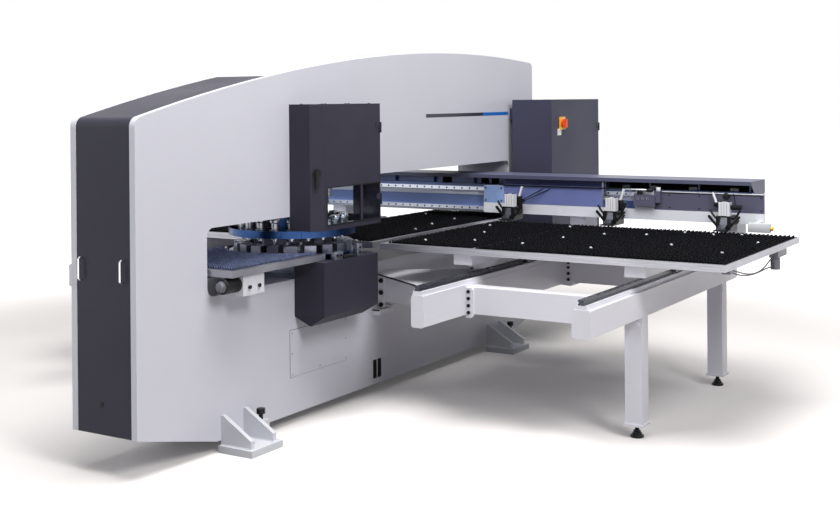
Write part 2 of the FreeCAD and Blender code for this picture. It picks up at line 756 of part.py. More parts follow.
def top_cover():
    """The pale cover strip along the arch between the front and the rear cover."""
    piece = Piece("top_cover")
    sketch = piece.sketch("YZ_Plane", -inner_face)
    front, rear = -d.cover_split, rear_end - d.rear_turn
    skin, sheet_in = d.cover_recess, d.cover_recess + d.cover_sheet
    corners = [
        (front, arch_height(front, sheet_in)), (rear, arch_height(rear, sheet_in)),
        (rear, arch_height(rear, skin)), (front, arch_height(front, skin)),
    ]
    outline(sketch, corners, {0: -(d.arch_radius - sheet_in), 2: d.arch_radius - skin})
    piece.pad(sketch, inner_face * 2)
    piece.done()


def pull_handles():
    """Two upright strap handles on the front cover, D shaped, with bevelled corners."""
    face = front_end + d.cover_recess
    tall, reach, rod_wide = d.pull_length / 2, d.pull_reach, d.pull_rod * 2
    bevel = rod_wide
    handles = []
    for side in (-1, 1):
        piece = Piece(f"pull_handle_{side + 2}")
        profile = piece.sketch("YZ_Plane", side * d.pull_spacing / 2 - d.pull_rod)
        outline(profile, [
            (0, -tall), (0, -tall + rod_wide), (-reach + rod_wide, -tall + rod_wide),
            (-reach + rod_wide, tall - rod_wide), (0, tall - rod_wide), (0, tall),
            (-reach + bevel, tall), (-reach, tall - bevel), (-reach, -tall + bevel),
            (-reach + bevel, -tall),
        ])
        piece.pad(profile, rod_wide)
        piece.move(y=face, z=d.pull_height)
        handles.append(piece.body)
    keep(group("pull_handles", handles))


def access_panel():
    """Flat screwed panel low on the right side plate."""
    front = -d.panel_front
    keep(block(
        "access_panel",
        (half, half + d.panel_thick),
        (front, front + d.panel_length),
        (d.panel_bottom, d.panel_bottom + d.panel_height),
    ))


def frame_foot(label, centre_y):
    """One foot on the right: base plate with an anchor hole, two gussets and a drilled levelling lug."""
    piece = Piece(label)
    base = piece.sketch("XY_Plane")
    rectangle(base, half, half + d.foot_reach, centre_y - d.foot_length / 2, centre_y + d.foot_length / 2)
    round_outline(base, half + d.anchor_reach, centre_y, d.anchor_bore)
    piece.pad(base, d.foot_plate)
    for side in (-1, 1):
        middle = centre_y + side * d.gusset_spacing / 2
        gusset = piece.sketch("XZ_Plane", -(middle + d.gusset_thick / 2))
        outline(gusset, [
            (half, d.foot_plate - 1), (half + d.gusset_run, d.foot_plate - 1),
            (half + d.gusset_run, d.gusset_toe), (half + d.gusset_thick / 2, d.gusset_height),
            (half, d.gusset_height),
        ])
        piece.pad(gusset, d.gusset_thick)
    lug = piece.sketch("XY_Plane", d.lug_bottom)
    lug_start = centre_y + d.gusset_spacing / 2
    rectangle(lug, half, half + d.lug_reach, lug_start, lug_start + d.lug_length)
    piece.pad(lug, d.lug_thick)
    return piece.body


def level_bolt_place(centre_y):
    """Axis of the levelling bolt beside a foot on the right, in the free half of its lug."""
    plate_edge = centre_y + d.foot_length / 2
    lug_end = centre_y + d.gusset_spacing / 2 + d.lug_length
    return half + d.lug_reach * 0.6, (plate_edge + lug_end) / 2


def frame_feet():
    """Front and rear feet, each with its twin on the left plate, and the levelling bolts."""
    bolts = []
    lug_top = d.lug_bottom + d.lug_thick
    for label, centre_y in (("feet_front", -foot_y), ("feet_rear", foot_y)):
        foot = frame_foot(f"{label}_right", centre_y)
        keep(group(label, [foot, mirrored(f"{label}_left", foot)]))
        x, y = level_bolt_place(centre_y)
        below = prism(f"{label}_jack", x, y, (0, d.lug_bottom), d.level_bolt, HEXAGON)
        shank = prism(f"{label}_shank", x, y, (lug_top, d.level_head_base), d.level_bolt, HEXAGON)
        head = prism(
            f"{label}_head", x, y, (d.level_head_base, d.level_head_base + d.level_head_high),
            d.level_head, HEXAGON,
        )
        for bolt in (below, fuse(f"{label}_bolt", [shank, head])):
            bolts += [bolt, mirrored(f"{bolt.Name}_left", bolt)]
    keep(group("levelling_bolts", bolts))


# --- punching unit ---------------------------------------------------------------------------------

def turret_disc(label, bottom, top):
    """A turned turret disc with the bore for its spindle."""
    piece = Piece(label)
    profile = piece.sketch("XZ_Plane")
    bore = d.spindle_radius + d.running_gap
    outline(profile, [(bore, bottom), (d.turret_radius, bottom), (d.turret_radius, top), (bore, top)])
    piece.revolve(profile)
    return piece


def station_outline(sketch, radius, middle=0):
    """Draw an even outline of STATION_SIDES sides about a point ahead of the sketch's origin."""
    corners = []
    for index in range(STATION_SIDES):
        angle = 2 * math.pi * (index + 0.5) / STATION_SIDES
        corners.append((radius * math.cos(angle), middle + radius * math.sin(angle)))
    return outline(sketch, corners)


def turrets():
    """Upper turret with its ring of bored punch stations, and the lower turret that carries the dies."""
    top = d.upper_bottom + d.upper_thick
    upper = turret_disc("upper_turret", d.upper_bottom, top)
    hub = upper.sketch("XY_Plane", top)
    station_outline(hub, d.hub_radius)
    round_outline(hub, 0, 0, d.spindle_radius + d.running_gap)
    upper.pad(hub, d.hub_high)
    station = upper.sketch("XY_Plane", top + 1)
    station_outline(station, d.station_bore, d.station_circle)
    drilled = upper.pocket(station, d.upper_thick + 2)
    upper.polar(drilled, station, d.station_count)
    upper.move(y=turret_y)
    upper.done()
    lower = turret_disc("lower_turret", d.lower_top - d.lower_thick, d.lower_top)
    lower.move(y=turret_y)
    lower.done()


def station_ring(label, source):
    """Copies of one station's piece round the turret axis, from the rear station on."""
    count = int(d.station_count.value)
    copies = []
    for index in range(count):
        copy = doc.addObject("Part::Feature", f"{label}_{index + 1}")
        turned = source.Shape.copy()
        turned.rotate(FreeCAD.Vector(0, 0, 0), FreeCAD.Vector(0, 0, 1), index * 360 / count)
        copy.Shape = turned
        copies.append(place(copy, 0, turret_y, 0))
    keep(group(label, copies))


def punch_tools():
    """Punch tools: guide through the disc's station, and above it the striking head."""
    piece = Piece("punch_tool")
    shoulder = d.tool_top - d.tool_head_high
    guide = piece.sketch("XY_Plane", d.tool_nose)
    station_outline(guide, d.station_bore - d.running_gap, d.station_circle)
    piece.pad(guide, shoulder - d.tool_nose)
    head = piece.sketch("XY_Plane", shoulder)
    station_outline(head, d.tool_head, d.station_circle)
    piece.pad(head, d.tool_head_high)
    doc.recompute()
    station_ring("punch_tools", piece.body)


def die_blocks():
    """Die blocks: square blocks on the lower turret, each with its square die opening."""
    piece = Piece("die_block")
    base = piece.sketch("XY_Plane", d.lower_top)
    middle = d.station_circle
    rectangle(
        base, -d.die_width / 2, d.die_width / 2, middle - d.die_length / 2, middle + d.die_length / 2,
    )
    rectangle(base, -d.die_bore, d.die_bore, middle - d.die_bore, middle + d.die_bore)
    piece.pad(base, d.sheet_plane - d.lower_top)
    doc.recompute()
    station_ring("die_blocks", piece.body)


def spindle(label, shaft, flange, race):
    """A fixed spindle: round shaft in the turret's hub, square race against the hub, square flange."""
    wide, race_wide = d.collar_radius, (d.hub_radius + d.spindle_radius) / 2
    return fuse(label, [
        rod(f"{label}_shaft", 0, turret_y, shaft, d.spindle_radius),
        block(f"{label}_flange", (-wide, wide), (turret_y - wide, turret_y + wide), flange),
        block(
            f"{label}_race", (-race_wide, race_wide), (turret_y - race_wide, turret_y + race_wide), race,
        ),
    ])


def spindles():
    """The spindles of the two turrets, one hanging from the throat's roof and one on its floor."""
    roof, ledge = d.throat_roof, d.throat_roof - d.collar_high
    hub_top = d.upper_bottom + d.upper_thick + d.hub_high
    upper = spindle("upper_spindle", (d.upper_bottom, roof), (ledge, roof), (hub_top + d.hub_gap, ledge))
    floor, step = d.throat_floor, d.throat_floor + d.collar_high
    underside = d.lower_top - d.lower_thick
    lower = spindle(
        "lower_spindle", (floor, d.lower_top), (floor, step), (step, underside - d.hub_gap),
    )
    keep(group("spindles", [upper, lower]))


def ram():
    """The ram over the punching station, with its narrower striker."""
    striker_top = d.ram_bottom + d.striker_high
    keep(fuse("ram", [
        rod("ram_body", 0, punch_y, (striker_top, d.ram_top), d.ram_radius),
        prism("ram_striker", 0, punch_y, (d.ram_bottom, striker_top), d.striker_radius, STATION_SIDES),
    ]))


# --- covers of the turrets -------------------------------------------------------------------------

head_y = -d.head_front
head_rear = head_y + d.head_length
head_x = half + d.head_reach


def knuckles(label, x, y, heights):
    """Upright hinge knuckles on one axis, one solid for each pair of heights."""
    return [
        prism(f"{label}_{index}", x, y, pair, d.knuckle_radius - 0.3, ROUND_SIDES)
        for index, pair in enumerate(heights, start=1)
    ]


def hinge_heights(low, high):
    """Two lift-off hinges on a door: heights of the door's knuckles and of the fixed ones below them."""
    fifth = (high - low) / 5
    reach, apart = d.knuckle_length / 2, 0.2
    middles = (low + fifth, high - fifth)
    moving = [(middle + apart, middle + reach) for middle in middles]
    fixed = [(middle - reach, middle - apart) for middle in middles]
    return moving, fixed


def head_cover(label, side):
    """Folded head cover on one side plate: front, top and rear panels. The left one is closed."""
    wall = d.cover_wall
    chamfer_x, chamfer_y = head_x - d.head_chamfer, head_y + d.head_chamfer
    piece = Piece(f"{label}_panels")
    top = piece.sketch("XY_Plane", d.head_top - wall)
    outline(top, [
        (half, head_y), (chamfer_x, head_y), (head_x, chamfer_y), (head_x, head_rear), (half, head_rear),
    ])
    piece.pad(top, wall)
    walls = piece.sketch("XY_Plane", d.head_bottom)
    rectangle(walls, half, chamfer_x, head_y, head_y + wall)
    rectangle(walls, half, head_x, head_rear - wall, head_rear)
    piece.pad(walls, d.head_top - wall - d.head_bottom)
    if side < 0:
        slant = wall * math.sqrt(2)
        face = piece.sketch("XY_Plane", d.head_bottom)
        outline(face, [
            (chamfer_x, head_y), (head_x, chamfer_y), (head_x, head_rear), (head_x - wall, head_rear),
            (head_x - wall, chamfer_y + slant - wall), (chamfer_x - slant + wall, head_y + wall),
            (chamfer_x - slant + wall, head_y),
        ])
        piece.pad(face, d.head_top - wall - d.head_bottom)
        keep(mirrored(label, piece.body))
        return
    axis_x, axis_y = head_x + d.knuckle_radius, head_rear
    _moving, fixed = hinge_heights(d.head_bottom, d.head_top)
    span, depth = (half + d.head_reach / 2, axis_x), (head_rear, head_rear + d.leaf_thick)
    leaves = [block(f"head_leaf_{index}", span, depth, pair) for index, pair in enumerate(fixed, start=1)]
    keep(fuse(label, [piece.body] + leaves + knuckles("head_knuckle", axis_x, axis_y, fixed)))


def head_door():
    """Door of the right head cover: chamfered front edge, window with a bar, two hinge knuckles."""
    wall, gap = d.cover_wall, d.door_gap
    slant = wall * math.sqrt(2)
    low, high = d.head_bottom, d.head_top - wall - gap
    chamfer_x, chamfer_y = head_x - d.head_chamfer, head_y + d.head_chamfer
    piece = Piece("head_door_panel")
    plan = piece.sketch("XY_Plane", low)
    rear = head_rear - wall - gap
    outline(plan, [
        (chamfer_x + gap, head_y + gap), (head_x, chamfer_y), (head_x, rear), (head_x - wall, rear),
        (head_x - wall, chamfer_y + slant - wall), (chamfer_x + gap, head_y + gap + slant),
    ])
    piece.pad(plan, high - low)
    window = piece.sketch("YZ_Plane", head_x + 1)
    window_y = -d.window_front
    bar_y = -d.window_bar
    sill, lintel = d.window_bottom, d.window_bottom + d.window_height
    rectangle(window, window_y, bar_y - d.window_bar_wide / 2, sill, lintel)
    rectangle(window, bar_y + d.window_bar_wide / 2, window_y + d.window_length, sill, lintel)
    piece.pocket(window, wall + 2)
    axis_x, axis_y = head_x + d.knuckle_radius, head_rear
    moving, _fixed = hinge_heights(d.head_bottom, d.head_top)
    leaves = []
    for index, pair in enumerate(moving, start=1):
        leaves.append(block(
            f"door_leaf_{index}", (head_x, head_x + d.leaf_thick), (rear - d.leaf_length, rear), pair,
        ))
        leaves.append(block(
            f"door_bridge_{index}", (head_x + 0.5, axis_x), (rear - 0.5, axis_y), pair,
        ))
    keep(fuse("head_door", [piece.body] + leaves + knuckles("door_knuckle", axis_x, axis_y, moving)))
    lap = d.pane_lap
    keep(block(
        "head_window",
        (head_x - wall - d.pane_thick, head_x - wall),
        (window_y - lap, window_y + d.window_length),
        (sill - lap, lintel + lap),
    ))


def head_latch():
    """Latch handle on the chamfer of the door: round rose and a lever across it."""
    rose = prism("latch_rose", 0, 0, (0, d.latch_rose_thick), d.latch_radius, DISC_SIDES)
    wide, past = d.latch_width / 2, d.latch_radius * 0.6
    lever = block(
        "latch_lever", (-past, d.latch_length - past), (-wide, wide),
        (d.latch_rose_thick, d.latch_rose_thick + d.latch_width),
    )
    latch = fuse("head_latch", [rose, lever])
    spot_x = head_x - d.head_chamfer / 2
    spot_y = head_y + d.head_chamfer / 2
    latch.Placement.Rotation = FreeCAD.Rotation(
        FreeCAD.Vector(0, 0, -1), FreeCAD.Vector(1, 1, 0), FreeCAD.Vector(1, -1, 0), "ZXY"
    )
    place(latch, spot_x + 0.25, spot_y - 0.25, d.latch_height)
    keep(latch)


def lower_covers():
    """Closed aprons beside the lower turret: upright faces over a keel that is set back at the front."""
    piece = Piece("apron_right")
    front, rear = -d.apron_front, d.apron_length - d.apron_front
    outer = half + d.apron_reach
    side = piece.sketch("XZ_Plane", -front)
    outline(side, [
        (half, d.apron_root), (outer - d.apron_bevel, d.apron_bottom), (outer, d.apron_bend),
        (outer, d.apron_top), (half, d.apron_top),
    ])
    piece.pad(side, rear - front, reversed_side=True)
    toe = piece.sketch("YZ_Plane", half - 1)
    outline(toe, [
        (front - 1, d.apron_bottom - 1), (front + d.apron_toe, d.apron_bottom - 1),
        (front + d.apron_toe, d.apron_bottom), (front, d.apron_bend), (front - 1, d.apron_bend),
    ])
    piece.pocket(toe, d.apron_reach + 2, reversed_side=True)
    piece.body.Label = "lower_cover_right"
    keep(piece.body)
    keep(mirrored("lower_cover_left", piece.body))


# --- fixed tables ----------------------------------------------------------------------------------

def brush_field(label, x, y, drop=0):
    """Brush backing with raised strips of bristles running front to rear, drawn as a comb and extruded."""
    left, right = x[0].value, x[1].value
    base, tips = (d.brush_base - drop).value, (d.brush_top - drop).value
    floor = (d.table_bottom + d.table_floor - drop).value
    pitch, row = d.brush_pitch.value, d.brush_row.value
    count = int((right - left - row) / pitch)
    margin = (right - left - count * pitch) / 2
    points = [(left, floor), (right, floor), (right, base)]
    for index in reversed(range(count)):
        middle = left + margin + (index + 0.5) * pitch
        points += [
            (middle + row / 2, base), (middle + row / 2, tips),
            (middle - row / 2, tips), (middle - row / 2, base),
        ]
    points.append((left, base))
    spots = [FreeCAD.Vector(px, 0, pz) for px, pz in points]
    comb = Part.Face(Part.makePolygon(spots + spots[:1]))
    field = doc.addObject("Part::Feature", label)
    field.Shape = comb.extrude(FreeCAD.Vector(0, (y[1] - y[0]).value, 0))
    return place(field, 0, y[0], 0)


def turret_relief(label, extra=0):
    """Round tool that clears the turrets, and so much more, out of a table."""
    low = d.table_bottom - d.front_table_drop - 1
    radius = d.turret_radius + d.turret_clearance + extra
    return rod(label, 0, turret_y, (low, d.brush_top + 1), radius)


def fixed_table(label, front, rear, drop=0):
    """Aluminium tray across the throat, open on top, its end by the turrets cut to their round."""
    wide = d.centre_table_width / 2
    low, high = d.table_bottom - drop, d.table_top - drop
    piece = Piece(f"{label}_tray")
    tray = piece.sketch("XY_Plane", low)
    rectangle(tray, -wide, wide, front, rear)
    piece.pad(tray, high - low)
    well = piece.sketch("XY_Plane", low + d.table_floor)
    edge = d.table_edge
    rectangle(well, -(wide - edge), wide - edge, front + edge, rear - edge)
    piece.pocket(well, high - low, reversed_side=True)
    rim = rod(
        f"{label}_rim", 0, turret_y, (low, high), d.turret_radius + d.turret_clearance + d.table_edge,
    )
    bounds = block(f"{label}_bounds", (-wide, wide), (front, rear), (low, high))
    band = doc.addObject("Part::Common", f"{label}_band")
    band.Base = rim
    band.Tool = bounds
    whole = fuse(f"{label}_whole", [piece.body, band])
    keep(cut(label, whole, turret_relief(f"{label}_relief")))
    gap = 0.5
    span = wide - edge - gap
    field = brush_field(f"{label}_field", (-span, span), (front + edge + gap, rear - edge - gap), drop)
    return cut(f"{label}_brushes", field, turret_relief(f"{label}_clear", edge + gap))


def centre_tables():
    """Front and rear fixed tables with their brushes, and the brackets that carry them."""
    drop = d.front_table_drop
    front = fixed_table("front_table", -d.front_table_front, -d.front_table_rear, drop)
    rear = fixed_table("rear_table", -d.rear_table_front, d.rear_table_rear)
    keep(group("centre_brushes", [front, rear]))
    brackets = []
    starts = ((-d.bracket_front, drop), (-d.bracket_front + d.bracket_shift, 0))
    for index, (start, lower) in enumerate(starts, start=1):
        end, top = start + d.bracket_length, d.table_bottom - lower
        outer = half + d.bracket_reach
        foot = block(
            f"bracket_foot_{index}", (inner_face, outer), (start, end),
            (d.throat_floor, d.throat_floor + d.bracket_plate),
        )
        side = block(
            f"bracket_side_{index}", (outer - d.bracket_plate, outer), (start, end), (d.throat_floor, top),
        )
        face = block(
            f"bracket_face_{index}", (half, outer), (start, start + d.bracket_plate), (d.throat_floor, top),
        )
        bracket = fuse(f"bracket_{index}", [foot, side, face])
        brackets += [bracket, mirrored(f"bracket_{index}_left", bracket)]
    keep(group("table_bracket", brackets))


# --- side supports ---------------------------------------------------------------------------------

beam_start = -d.beam_front
beam_end = beam_start + d.beam_length


def support_beam(label, centre_x, width, bottom):
    """Box beam with a ledge on top for the rail, and slightly larger end caps."""
    piece = Piece(label)
    wide, ledge = width / 2, d.ledge_width / 2
    body = piece.sketch("XZ_Plane", d.beam_front)
    outline(body, [
        (-wide, bottom), (wide, bottom), (wide, d.beam_shoulder), (ledge, d.beam_shoulder),
        (ledge, d.ledge_top), (-ledge, d.ledge_top), (-ledge, d.beam_shoulder), (-wide, d.beam_shoulder),
    ])
    piece.pad(body, d.beam_length, reversed_side=True)
    lip, bevel = d.cap_lip, d.cap_lip * 3
    for place_y, back in ((-beam_start, False), (-beam_end, True)):
        cap = piece.sketch("XZ_Plane", place_y)
        low, high = bottom - lip, d.beam_shoulder + lip
        outline(cap, [
            (-wide - lip, low + bevel), (-wide - lip + bevel, low), (wide + lip - bevel, low),
            (wide + lip, low + bevel), (wide + lip, high - bevel), (wide + lip - bevel, high),
            (-wide - lip + bevel, high), (-wide - lip, high - bevel),
        ])
        piece.pad(cap, d.cap_lip, reversed_side=back)
    piece.move(x=centre_x)
    return piece.body


def table_rail(label, centre_x):
    """Profile rail with a waist, on a support beam."""
    piece = Piece(label)
    wide, waist = d.rail_width / 2, d.rail_width / 2 - d.rail_waist
    low, high = d.ledge_top, d.rail_top
    quarter = (high - low) / 4
    profile = piece.sketch("XZ_Plane", d.beam_front)
    outline(profile, [
        (-wide, low), (wide, low), (wide, low + quarter), (waist, low + quarter * 1.5),
        (waist, high - quarter * 1.5), (wide, high - quarter), (wide, high),
        (-wide, high), (-wide, high - quarter), (-waist, high - quarter * 1.5),
        (-waist, low + quarter * 1.5), (-wide, low + quarter),
    ])
    piece.pad(profile, d.beam_length, reversed_side=True)
    piece.move(x=centre_x)
    return piece.body


def bolted_strip(label, left, front, z):
    """Upright strip with bevelled corners, bolted flat against a face that looks along the machine."""
    low, high = z
    right, bevel = left + d.strip_width, d.strip_bevel
    piece = Piece(label)
    face = piece.sketch("XZ_Plane", -(front + d.strip_thick))
    outline(face, [
        (left, low), (right - bevel, low), (right, low + bevel), (right, high - bevel),
        (right - bevel, high), (left, high),
    ])
    piece.pad(face, d.strip_thick)
    return piece.body


def cross_beam(label, x, centre_y, z, strip_z, plate=False):
    """Beam between two faces, with bolted strips at its first face and, if asked, a flared plate on top."""
    wide = d.cross_width / 2
    start, end = x
    front, rear = centre_y - wide, centre_y + wide
    parts = [
        block(f"{label}_beam", x, (front, rear), z),
        bolted_strip(f"{label}_strip_front", start, front - d.strip_thick, strip_z),
        bolted_strip(f"{label}_strip_rear", start, rear, strip_z),
    ]
    if plate:
        near, far = d.stub_root, d.stub_root + d.stub_flare
        flared = Piece(f"{label}_plate")
        plan = flared.sketch("XY_Plane", z[1])
        outline(plan, [
            (start, front - near), (end, front - far), (end, rear + far), (start, rear + near),
        ])
        flared.pad(plan, d.stub_plate)
        parts.append(flared.body)
    return fuse(label, parts)


def supports():
    """Support beams, rails, cross beams with their strips, legs and levelling feet of both sides."""
    rails, crosses, legs, pads = [], [], [], []
    inner_wide, outer_wide = d.inner_width / 2, d.outer_width / 2
    for name, sign, outer in (("right", 1, d.beam_outer), ("left", -1, d.beam_outer_left)):
        beams = []
        for spot, middle, width, bottom in (
            ("inner", d.beam_inner, d.inner_width, d.inner_bottom),
            ("outer", outer, d.outer_width, d.outer_bottom),
        ):
            beams.append(support_beam(f"beam_{spot}_{name}", sign * middle, width, bottom))
            rails.append(table_rail(f"rail_{spot}_{name}", sign * middle))
        keep(group(f"support_beams_{name}", beams))
        low, high = d.cross_bottom, d.cross_bottom + d.cross_height
        for spot, y in (("front", -d.cross_front), ("rear", d.cross_rear)):
            span = (d.beam_inner + inner_wide, outer - outer_wide)
            made = cross_beam(f"cross_{spot}_{name}", span, y, (low, high), (low - d.cross_strip_drop, high))
            crosses.append(made if sign > 0 else mirrored(f"cross_{spot}_mirror", made))
        low, high = d.stub_bottom, d.stub_bottom + d.stub_height
        strip = (low - d.stub_strip_drop, high + d.stub_plate)
        for spot, y in (("front", -d.stub_front), ("rear", d.stub_rear)):
            span = (half, d.beam_inner - inner_wide)
            made = cross_beam(f"stub_{spot}_{name}", span, y, (low, high), strip, spot == "front")
            crosses.append(made if sign > 0 else mirrored(f"stub_{spot}_mirror", made))
        for spot, y in (("front", -d.leg_front), ("rear", d.leg_rear)):
            legs.append(leg(f"leg_{spot}_{name}", sign * outer, y))
            pads.append(levelling_foot(f"pad_{spot}_{name}", sign * outer, y))
    keep(group("y_rails", rails))
    keep(group("cross_beams", crosses))
    keep(group("legs", legs))
    keep(group("levelling_feet", pads))


def leg(label, x, y):
    """Square leg with a foot plate, its front wall drawn to a point under the beam."""
    wide, top = d.leg_width / 2, d.outer_bottom
    piece = Piece(label)
    for reach, high in ((wide, top), (wide + d.leg_lap, d.leg_bottom + d.leg_plate)):
        square = piece.sketch("XY_Plane", d.leg_bottom)
        rectangle(square, -reach, reach, -reach, reach)
        piece.pad(square, high - d.leg_bottom)
    shoulders = piece.sketch("XZ_Plane", wide)
    for side in (-1, 1):
        outline(shoulders, [
            (side * d.leg_peak, top), (side * (wide + 1), top), (side * (wide + 1), top - d.leg_shoulder),
        ])
    piece.pocket(shoulders, d.leg_wall)
    piece.move(x=x, y=y)
    return piece.body


def levelling_foot(label, x, y):
    """Stem with its nut on a stepped pad, up to the leg's foot plate."""
    rim = d.pad_high / 3
    return fuse(label, [
        prism(f"{label}_pad", x, y, (0, rim), d.pad_radius, DISC_SIDES),
        prism(f"{label}_cone", x, y, (rim, rim * 2), d.pad_cone, DISC_SIDES),
        prism(f"{label}_nut", x, y, (rim * 2, d.pad_high), d.pad_nut, HEXAGON),
        prism(f"{label}_stem", x, y, (d.pad_high, d.leg_bottom), d.stem_radius, ROUND_SIDES),
    ])


# --- moving table ----------------------------------------------------------------------------------

wing_start = -d.wing_front
wing_end = wing_start + d.wing_length
brush_end = wing_end - d.clamp_strip


def wing(name, sign, outer):
    """Wing table of one side: aluminium tray with a seam bar, and its two brush panels."""
    inner, edge = d.wing_inner, d.table_edge
    piece = Piece(f"wing_{name}_tray")
    low, high = (inner, outer) if sign > 0 else (-outer, -inner)
    seam = sign * d.wing_seam
    tray = piece.sketch("XY_Plane", d.table_bottom)
    rectangle(tray, low, high, wing_start, wing_end)
    piece.pad(tray, d.table_top - d.table_bottom)
    gap = 0.5
    panels = []
    spans = ((low + edge, seam - edge / 4), (seam + edge / 4, high - edge))
    wells = piece.sketch("XY_Plane", d.table_bottom + d.table_floor)
    for index, (left, right) in enumerate(spans, start=1):
        rectangle(wells, left, right, wing_start + edge, brush_end)
        panels.append(brush_field(
            f"wing_field_{name}_{index}", (left + gap, right - gap),
            (wing_start + edge + gap, brush_end - gap),
        ))
    piece.pocket(wells, d.table_top - d.table_bottom, reversed_side=True)
    piece.body.Label = f"wing_{name}"
    keep(piece.body)
    keep(group(f"wing_brushes_{name}", panels))


def rail_lines():
    """The four table rails: name, side, centre line, and which way the channel lies beside it."""
    return (
        ("inner_right", 1, d.beam_inner, -1), ("outer_right", 1, d.beam_outer, 1),
        ("inner_left", -1, d.beam_inner, -1), ("outer_left", -1, d.beam_outer_left, 1),
    )


def channels():
    """Channels under the wings, each with a riser that carries the carriage beam."""
    made = []
    wide = d.channel_width / 2
    rear = d.carriage_front + d.carriage_depth
    for name, sign, middle, away in rail_lines():
        x = sign * (middle + away * d.channel_shift)
        piece = Piece(f"channel_{name}")
        section = piece.sketch("XZ_Plane", d.channel_front)
        low, high = d.channel_bottom, d.table_bottom
        outline(section, [(-wide, low), (wide, low), (wide, high), (-wide, high)])
        piece.pad(section, d.channel_front + rear - d.channel_short, reversed_side=True)
        riser = piece.sketch("XY_Plane", high)
        rectangle(riser, -wide, wide, d.carriage_front + d.channel_short, rear - d.channel_short)
        piece.pad(riser, d.carriage_bottom - high)
        piece.move(x=x)
        made.append(piece.body)
    keep(group("wing_channels", made))


def bearing_blocks():
    """Bearing blocks that straddle the table rails and carry the channels."""
    made = []
    wide, slot = d.block_width / 2, d.rail_width / 2 + d.running_gap
    for name, sign, middle, _away in rail_lines():
        for spot, y in (("front", d.block_front), ("rear", d.block_rear)):
            piece = Piece(f"block_{spot}_{name}")
            section = piece.sketch("XZ_Plane", d.block_length / 2)
            low, roof = d.rail_top - d.block_skirt, d.rail_top + d.running_gap
            outline(section, [
                (-wide, low), (-slot, low), (-slot, roof), (slot, roof), (slot, low), (wide, low),
                (wide, d.channel_bottom), (-wide, d.channel_bottom),
            ])
            piece.pad(section, d.block_length, reversed_side=True)
            piece.move(x=sign * middle, y=y)
            made.append(piece.body)
    keep(group("bearing_blocks", made))


def carriage_beam():
    """Carriage beam with the open slot under its cover and ribs across the slot."""
    piece = Piece("carriage_beam")
    section = piece.sketch("YZ_Plane", -d.carriage_half)
    front, rear = d.carriage_front, d.carriage_front + d.carriage_depth
    notch = front + d.carriage_notch
    outline(section, [
        (front, d.carriage_bottom), (rear, d.carriage_bottom), (rear, d.carriage_top),
        (notch, d.carriage_top), (notch, d.carriage_slot), (front, d.carriage_slot),
    ])
    piece.pad(section, d.carriage_half * 2)
    count = int(2 * d.carriage_half.value / d.rib_pitch.value)
    ribs = piece.sketch("XZ_Plane", -notch)
    for index in range(count + 1):
        middle = -d.rib_pitch * count / 2 + d.rib_pitch * index
        thick = d.rib_thick / 2
        rectangle(ribs, middle - thick, middle + thick, d.carriage_slot, d.carriage_top)
    piece.pad(ribs, d.carriage_notch / 2)
    piece.done()


def beam_cover():
    """Folded cover over the carriage beam with a front lip, a rear skirt and end plates."""
    piece = Piece("beam_cover")
    front, rear = d.hood_front, d.carriage_front + d.carriage_depth
    sheet_thick, top = d.hood_sheet, d.hood_top
    section = piece.sketch("YZ_Plane", -d.carriage_half)
    back, skirt = rear + sheet_thick, d.carriage_bottom + d.hood_skirt
    outline(section, [
        (front, d.carriage_top), (front + sheet_thick, d.carriage_top),
        (front + sheet_thick, top - sheet_thick), (rear, top - sheet_thick),
        (rear, skirt), (back, skirt), (back, top), (front, top),
    ])
    piece.pad(section, d.carriage_half * 2)
    for place_x, other_way in ((d.carriage_half, False), (-d.carriage_half, True)):
        plate = piece.sketch("YZ_Plane", place_x)
        slope = top - d.hood_end
        outline(plate, [
            (d.carriage_front + 4, slope), (back, slope), (back, top), (front, top),
            (front, d.carriage_top),
        ])
        piece.pad(plate, sheet_thick, reversed_side=other_way)
    piece.done()


def x_rails():
    """Two rails along the front face of the carriage beam."""
    deep, wide = d.x_rail_deep, d.x_rail_wide / 2
    end = d.carriage_half - d.x_rail_short
    rails = [
        block(f"x_rail_{name}", (-end, end), (d.carriage_front - deep, d.carriage_front), (z - wide, z + wide))
        for name, z in (("low", d.x_rail_low), ("high", d.x_rail_high))
    ]
    keep(group("x_rails", rails))


# --- workholder carriage ---------------------------------------------------------------------------

bar_back = d.carriage_front - d.x_rail_deep - d.bar_stand_off
bar_front = bar_back - d.bar_thick


